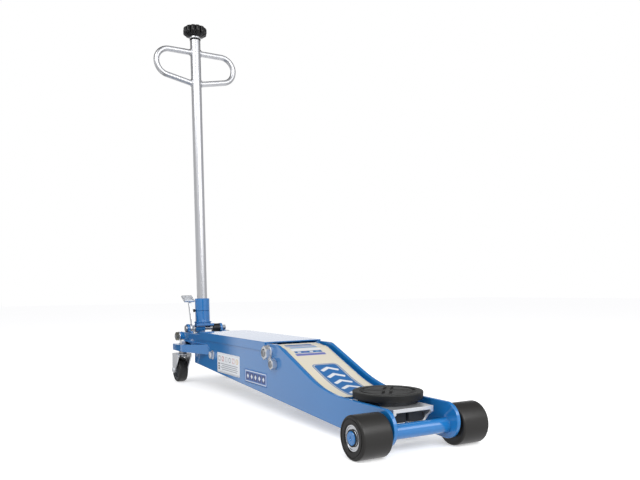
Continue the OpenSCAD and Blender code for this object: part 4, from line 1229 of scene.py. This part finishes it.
def weldLine(name, path, plane):
    # a rippled bead along a line of corners, resampled to even steps
    w = weldSet
    path = np.array(path, float)
    steps = distanceAlong(path)
    length = steps[-1]
    along = np.linspace(0, length, max(int(length / w["pitch"] * w["perRipple"]), w["fewest"]))
    even = np.stack([np.interp(along, steps, path[:, k]) for k in range(3)], 1)
    bead = swept(name, even, w["radius"], plane, w["sides"], w["ripple"], int(length / w["pitch"]))
    seat(bead, "chassis", "body_blue")


def makeOutriggerWelds():
    # a bead along the top of each outrigger and one up its front, where it meets the plate
    w, f = weldSet, frontWeldSet
    low, high = span("outrigger_right")
    knee = middle("kingpins")[0] + w["knee"]
    shelf = span("kingpin_nuts")[0][2] + w["shelf"]
    for sideName, side in bothSides:
        y = -side * high[1]
        top = ((low[0] + w["rearIn"], y, shelf), (knee, y, shelf),
               (high[0] - w["frontIn"], y, high[2] - w["topIn"]))
        weldLine("outrigger_weld_" + sideName, top, (0, 0, 1.0))
        front = ((high[0] - f["back"], y, low[2] + f["foot"]), (high[0] - f["back"], y, high[2] - f["top"]))
        weldLine("outrigger_front_weld_" + sideName, front, (1.0, 0, 0))


def makeSocketWeld():
    # a bead round the foot of the handle's socket
    s = socketWeldSet
    turn = np.linspace(0, 2 * math.pi, s["rows"])
    outward = circle(turn, handleAhead, handleAcross)
    path = handlePivot + s["along"] * handleUp + s["ring"] * outward
    seat(closedBead("socket_weld", path, outward, handleUp, turn, s), "handle", slotOf["handle_foot"])


screwSet = {"along": 0.0596, "start": 0.0235, "length": 0.0075, "radius": 0.003, "headOut": 0.003,
            "flats": 0.009, "head": 0.005, "shankSides": 32, "headSides": 60}


def makeSetScrew():
    # short screw with a hexagon head in the socket's right side
    s = screwSet
    axes = np.stack((handleAhead, handleUp, -handleAcross))
    foot = handlePivot + s["along"] * handleUp
    start, end, radius = s["start"], s["start"] + s["length"], s["radius"]
    outline = ((0, start), (radius, start), (radius, end), (0, end))
    shank = revolved("screw", outline, foot, axes, s["shankSides"])
    headFoot = foot - handleAcross * (start + s["headOut"])
    head = hexSolid("screw", headFoot, s["flats"], s["head"], 0, axes, s["headSides"])
    seat(joined("socket_screw", (shank, head)), "handle", "dark_steel")


makeOutriggerWelds()
makeSocketWeld()
makeSetScrew()
print("welds and screw made")

# two blocks that fill the front of the saddle bracket, and the flanges under the rear deck
blockSet = {"x": (-0.058, -0.027), "z": (0.047, 0.0705), "power": 0.22,
            "right": (-0.0385, -0.002), "left": (0.0025, 0.0385),      # the two ends along Y
            "rows": 41, "sides": 96}
flangeSet = {"out": 0.0002, "thick": 0.0016, "drop": 0.026, "rise": 0.003, "power": 0.08}


def roundedBlock(name, low, high, power):
    # each half size times a signed power of the sphere's sine and cosine
    rise = np.linspace(-math.pi / 2, math.pi / 2, blockSet["rows"])[:, None]
    turn = roundTurn(blockSet["sides"])[None]

    def bent(value):
        return np.sign(value) * np.abs(value) ** power

    shape = np.stack(np.broadcast_arrays(bent(np.cos(rise)) * bent(np.cos(turn)),
                                         bent(np.cos(rise)) * bent(np.sin(turn)), bent(np.sin(rise))), -1)
    low, high = np.array(low), np.array(high)
    return gridPiece(name, (low + high) / 2 + (high - low) / 2 * shape, smooth=60)


def makeBlocks():
    b, f = blockSet, flangeSet
    low, high = span("rear_deck")
    outer = high[1] - f["out"]
    for sideName, side in bothSides:
        near, far = b[sideName]
        block = roundedBlock("saddle_block_" + sideName, (axleX + b["x"][0], near, b["z"][0]),
                             (axleX + b["x"][1], far, b["z"][1]), b["power"])
        seat(block, "saddle_carrier", "dark_steel", finishes["pump_iron"])
        near, far = sorted((side * outer, side * (outer - f["thick"])))
        flange = roundedBlock("deck_flange_" + sideName, (low[0], near, low[2] - f["drop"]),
                              (high[0], far, low[2] + f["rise"]), f["power"])
        seat(flange, "chassis", "body_blue")


makeBlocks()
print("saddle blocks and deck flanges made")

# floor, light and background
floorSet = {"half": 14, "tone": 0.86, "blue": 1.005, "glow": 0.44}
lampSet = {
    "key": {"place": (0.6, -1.9, 2.3), "target": (0.0, 0.0, 0.1), "size": (2.0, 1.6), "power": 26.0},
    "front": {"place": (2.3, -0.1, 1.5), "target": (0.4, 0.0, 0.05), "size": (1.6, 1.0), "power": 28.0},
    "fill": {"place": (2.2, 1.4, 1.6), "target": (0.2, 0.0, 0.1), "size": (1.2, 1.2), "power": 9.0},
}
# bands: brightness of the studio walls that gloss shows, from the jack's right side round to its left;
# behind and high: where they dim above the jack's rear; low: where they dim a little below the eye
wallSet = {
    "diffuse": 0.62,
    "blue": 1.01,
    "bands": ((0, 0.7), (0.16, 0.74), (0.25, 0.95), (0.314, 1.0), (0.322, 0.03), (0.37, 0.04), (0.4, 0.38),
              (0.45, 0.42), (0.49, 0.5), (0.56, 0.95), (0.73, 1.0), (0.85, 0.8), (0.95, 0.6), (1, 0.6)),
    "behind": (-0.1, 0.35, 0.85, 0.0),
    "high": (0.27, 0.36),
    "lowLevel": 0.4,
    "low": (0.0, 0.38, 0.8, 1.0),
}


def makeFloor():
    # pale floor that keeps the shadow: plain diffuse, with a little glow for the camera only
    half, tone = floorSet["half"], floorSet["tone"]
    corners = [(-half, -half, 0), (half, -half, 0), (half, half, 0), (-half, half, 0)]
    mesh = bpy.data.meshes.new("floor")
    mesh.from_pydata(corners, [], [(0, 1, 2, 3)])
    floor = addObject("floor", mesh)
    material = bpy.data.materials.new("floor")
    material.use_nodes = True
    tree = material.node_tree
    tree.nodes.remove(tree.nodes["Principled BSDF"])
    paper = addNode(tree, "BsdfDiffuse", {"Color": (tone, tone, tone * floorSet["blue"], 1)})
    path = addNode(tree, "LightPath").outputs
    glow = maths(tree, "MULTIPLY", path["Is Camera Ray"], floorSet["glow"])
    glowing = addNode(tree, "Emission", {"Color": (1, 1, 1, 1), "Strength": glow})
    both = addNode(tree, "AddShader", {0: paper.outputs[0], 1: glowing.outputs[0]})
    clear = addNode(tree, "BsdfTransparent")    # gloss sees the studio walls instead
    seen = addNode(tree, "MixShader", {0: path["Is Glossy Ray"], 1: both.outputs[0], 2: clear.outputs[0]})
    tree.links.new(seen.outputs[0], tree.nodes["Material Output"].inputs["Surface"])
    mesh.materials.append(material)
    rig.stage(floor)


def makeWorld():
    # white for the camera; reflections see a studio that darkens in bands; softer white lights the rest
    w = wallSet
    world = bpy.data.worlds.new("studio")
    bpy.context.scene.world = world
    world.use_nodes = True
    tree = world.node_tree
    path = addNode(tree, "LightPath").outputs
    x, y, z = addNode(tree, "SeparateXYZ", {0: addNode(tree, "TexCoord").outputs["Generated"]}).outputs
    bands = addNode(tree, "ValToRGB", {0: between(tree, y, -1.0, 1.0)})
    stops = bands.color_ramp.elements
    for stop, (position, tone) in zip(stops, (w["bands"][0], w["bands"][-1])):
        stop.position = position
        stop.color = (tone, tone, tone, 1)
    for position, tone in w["bands"][1:-1]:
        stops.new(position).color = (tone, tone, tone * w["blue"], 1)
    dimmed = maths(tree, "MULTIPLY", between(tree, x, *w["behind"]), between(tree, z, *w["high"]))
    upper = maths(tree, "SUBTRACT", 1.0, dimmed)
    fromLow = maths(tree, "ABSOLUTE", maths(tree, "ADD", z, w["lowLevel"]))
    shade = maths(tree, "MULTIPLY", upper, between(tree, fromLow, *w["low"]))
    walls = addNode(tree, "VectorMath", {0: bands.outputs[0], "Scale": shade}, operation="SCALE").outputs[0]
    level = w["diffuse"]
    plain = mixTone(tree, path["Is Glossy Ray"], (level, level, level * w["blue"], 1), walls)
    seen = mixTone(tree, path["Is Camera Ray"], plain, (1, 1, 1, 1))
    tree.links.new(seen, tree.nodes["Background"].inputs["Color"])


def makeLamp(name, place, target, size, power):
    data = bpy.data.lights.new(name, "AREA")
    data.shape = "RECTANGLE"
    data.size, data.size_y = size
    data.energy = power
    lamp = addObject(name, data)
    toTarget = Vector(target) - Vector(place)
    lamp.matrix_world = Matrix.Translation(place) @ toTarget.to_track_quat("-Z", "Y").to_matrix().to_4x4()


makeFloor()
makeWorld()
for name, values in lampSet.items():
    makeLamp(name, **values)
print("floor and light made")

with open("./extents.json", "w") as sizes:
    json.dump({"cad": [list(corner) for corner in cadBox], "visual": [list(corner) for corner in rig.bounds()]}, sizes)
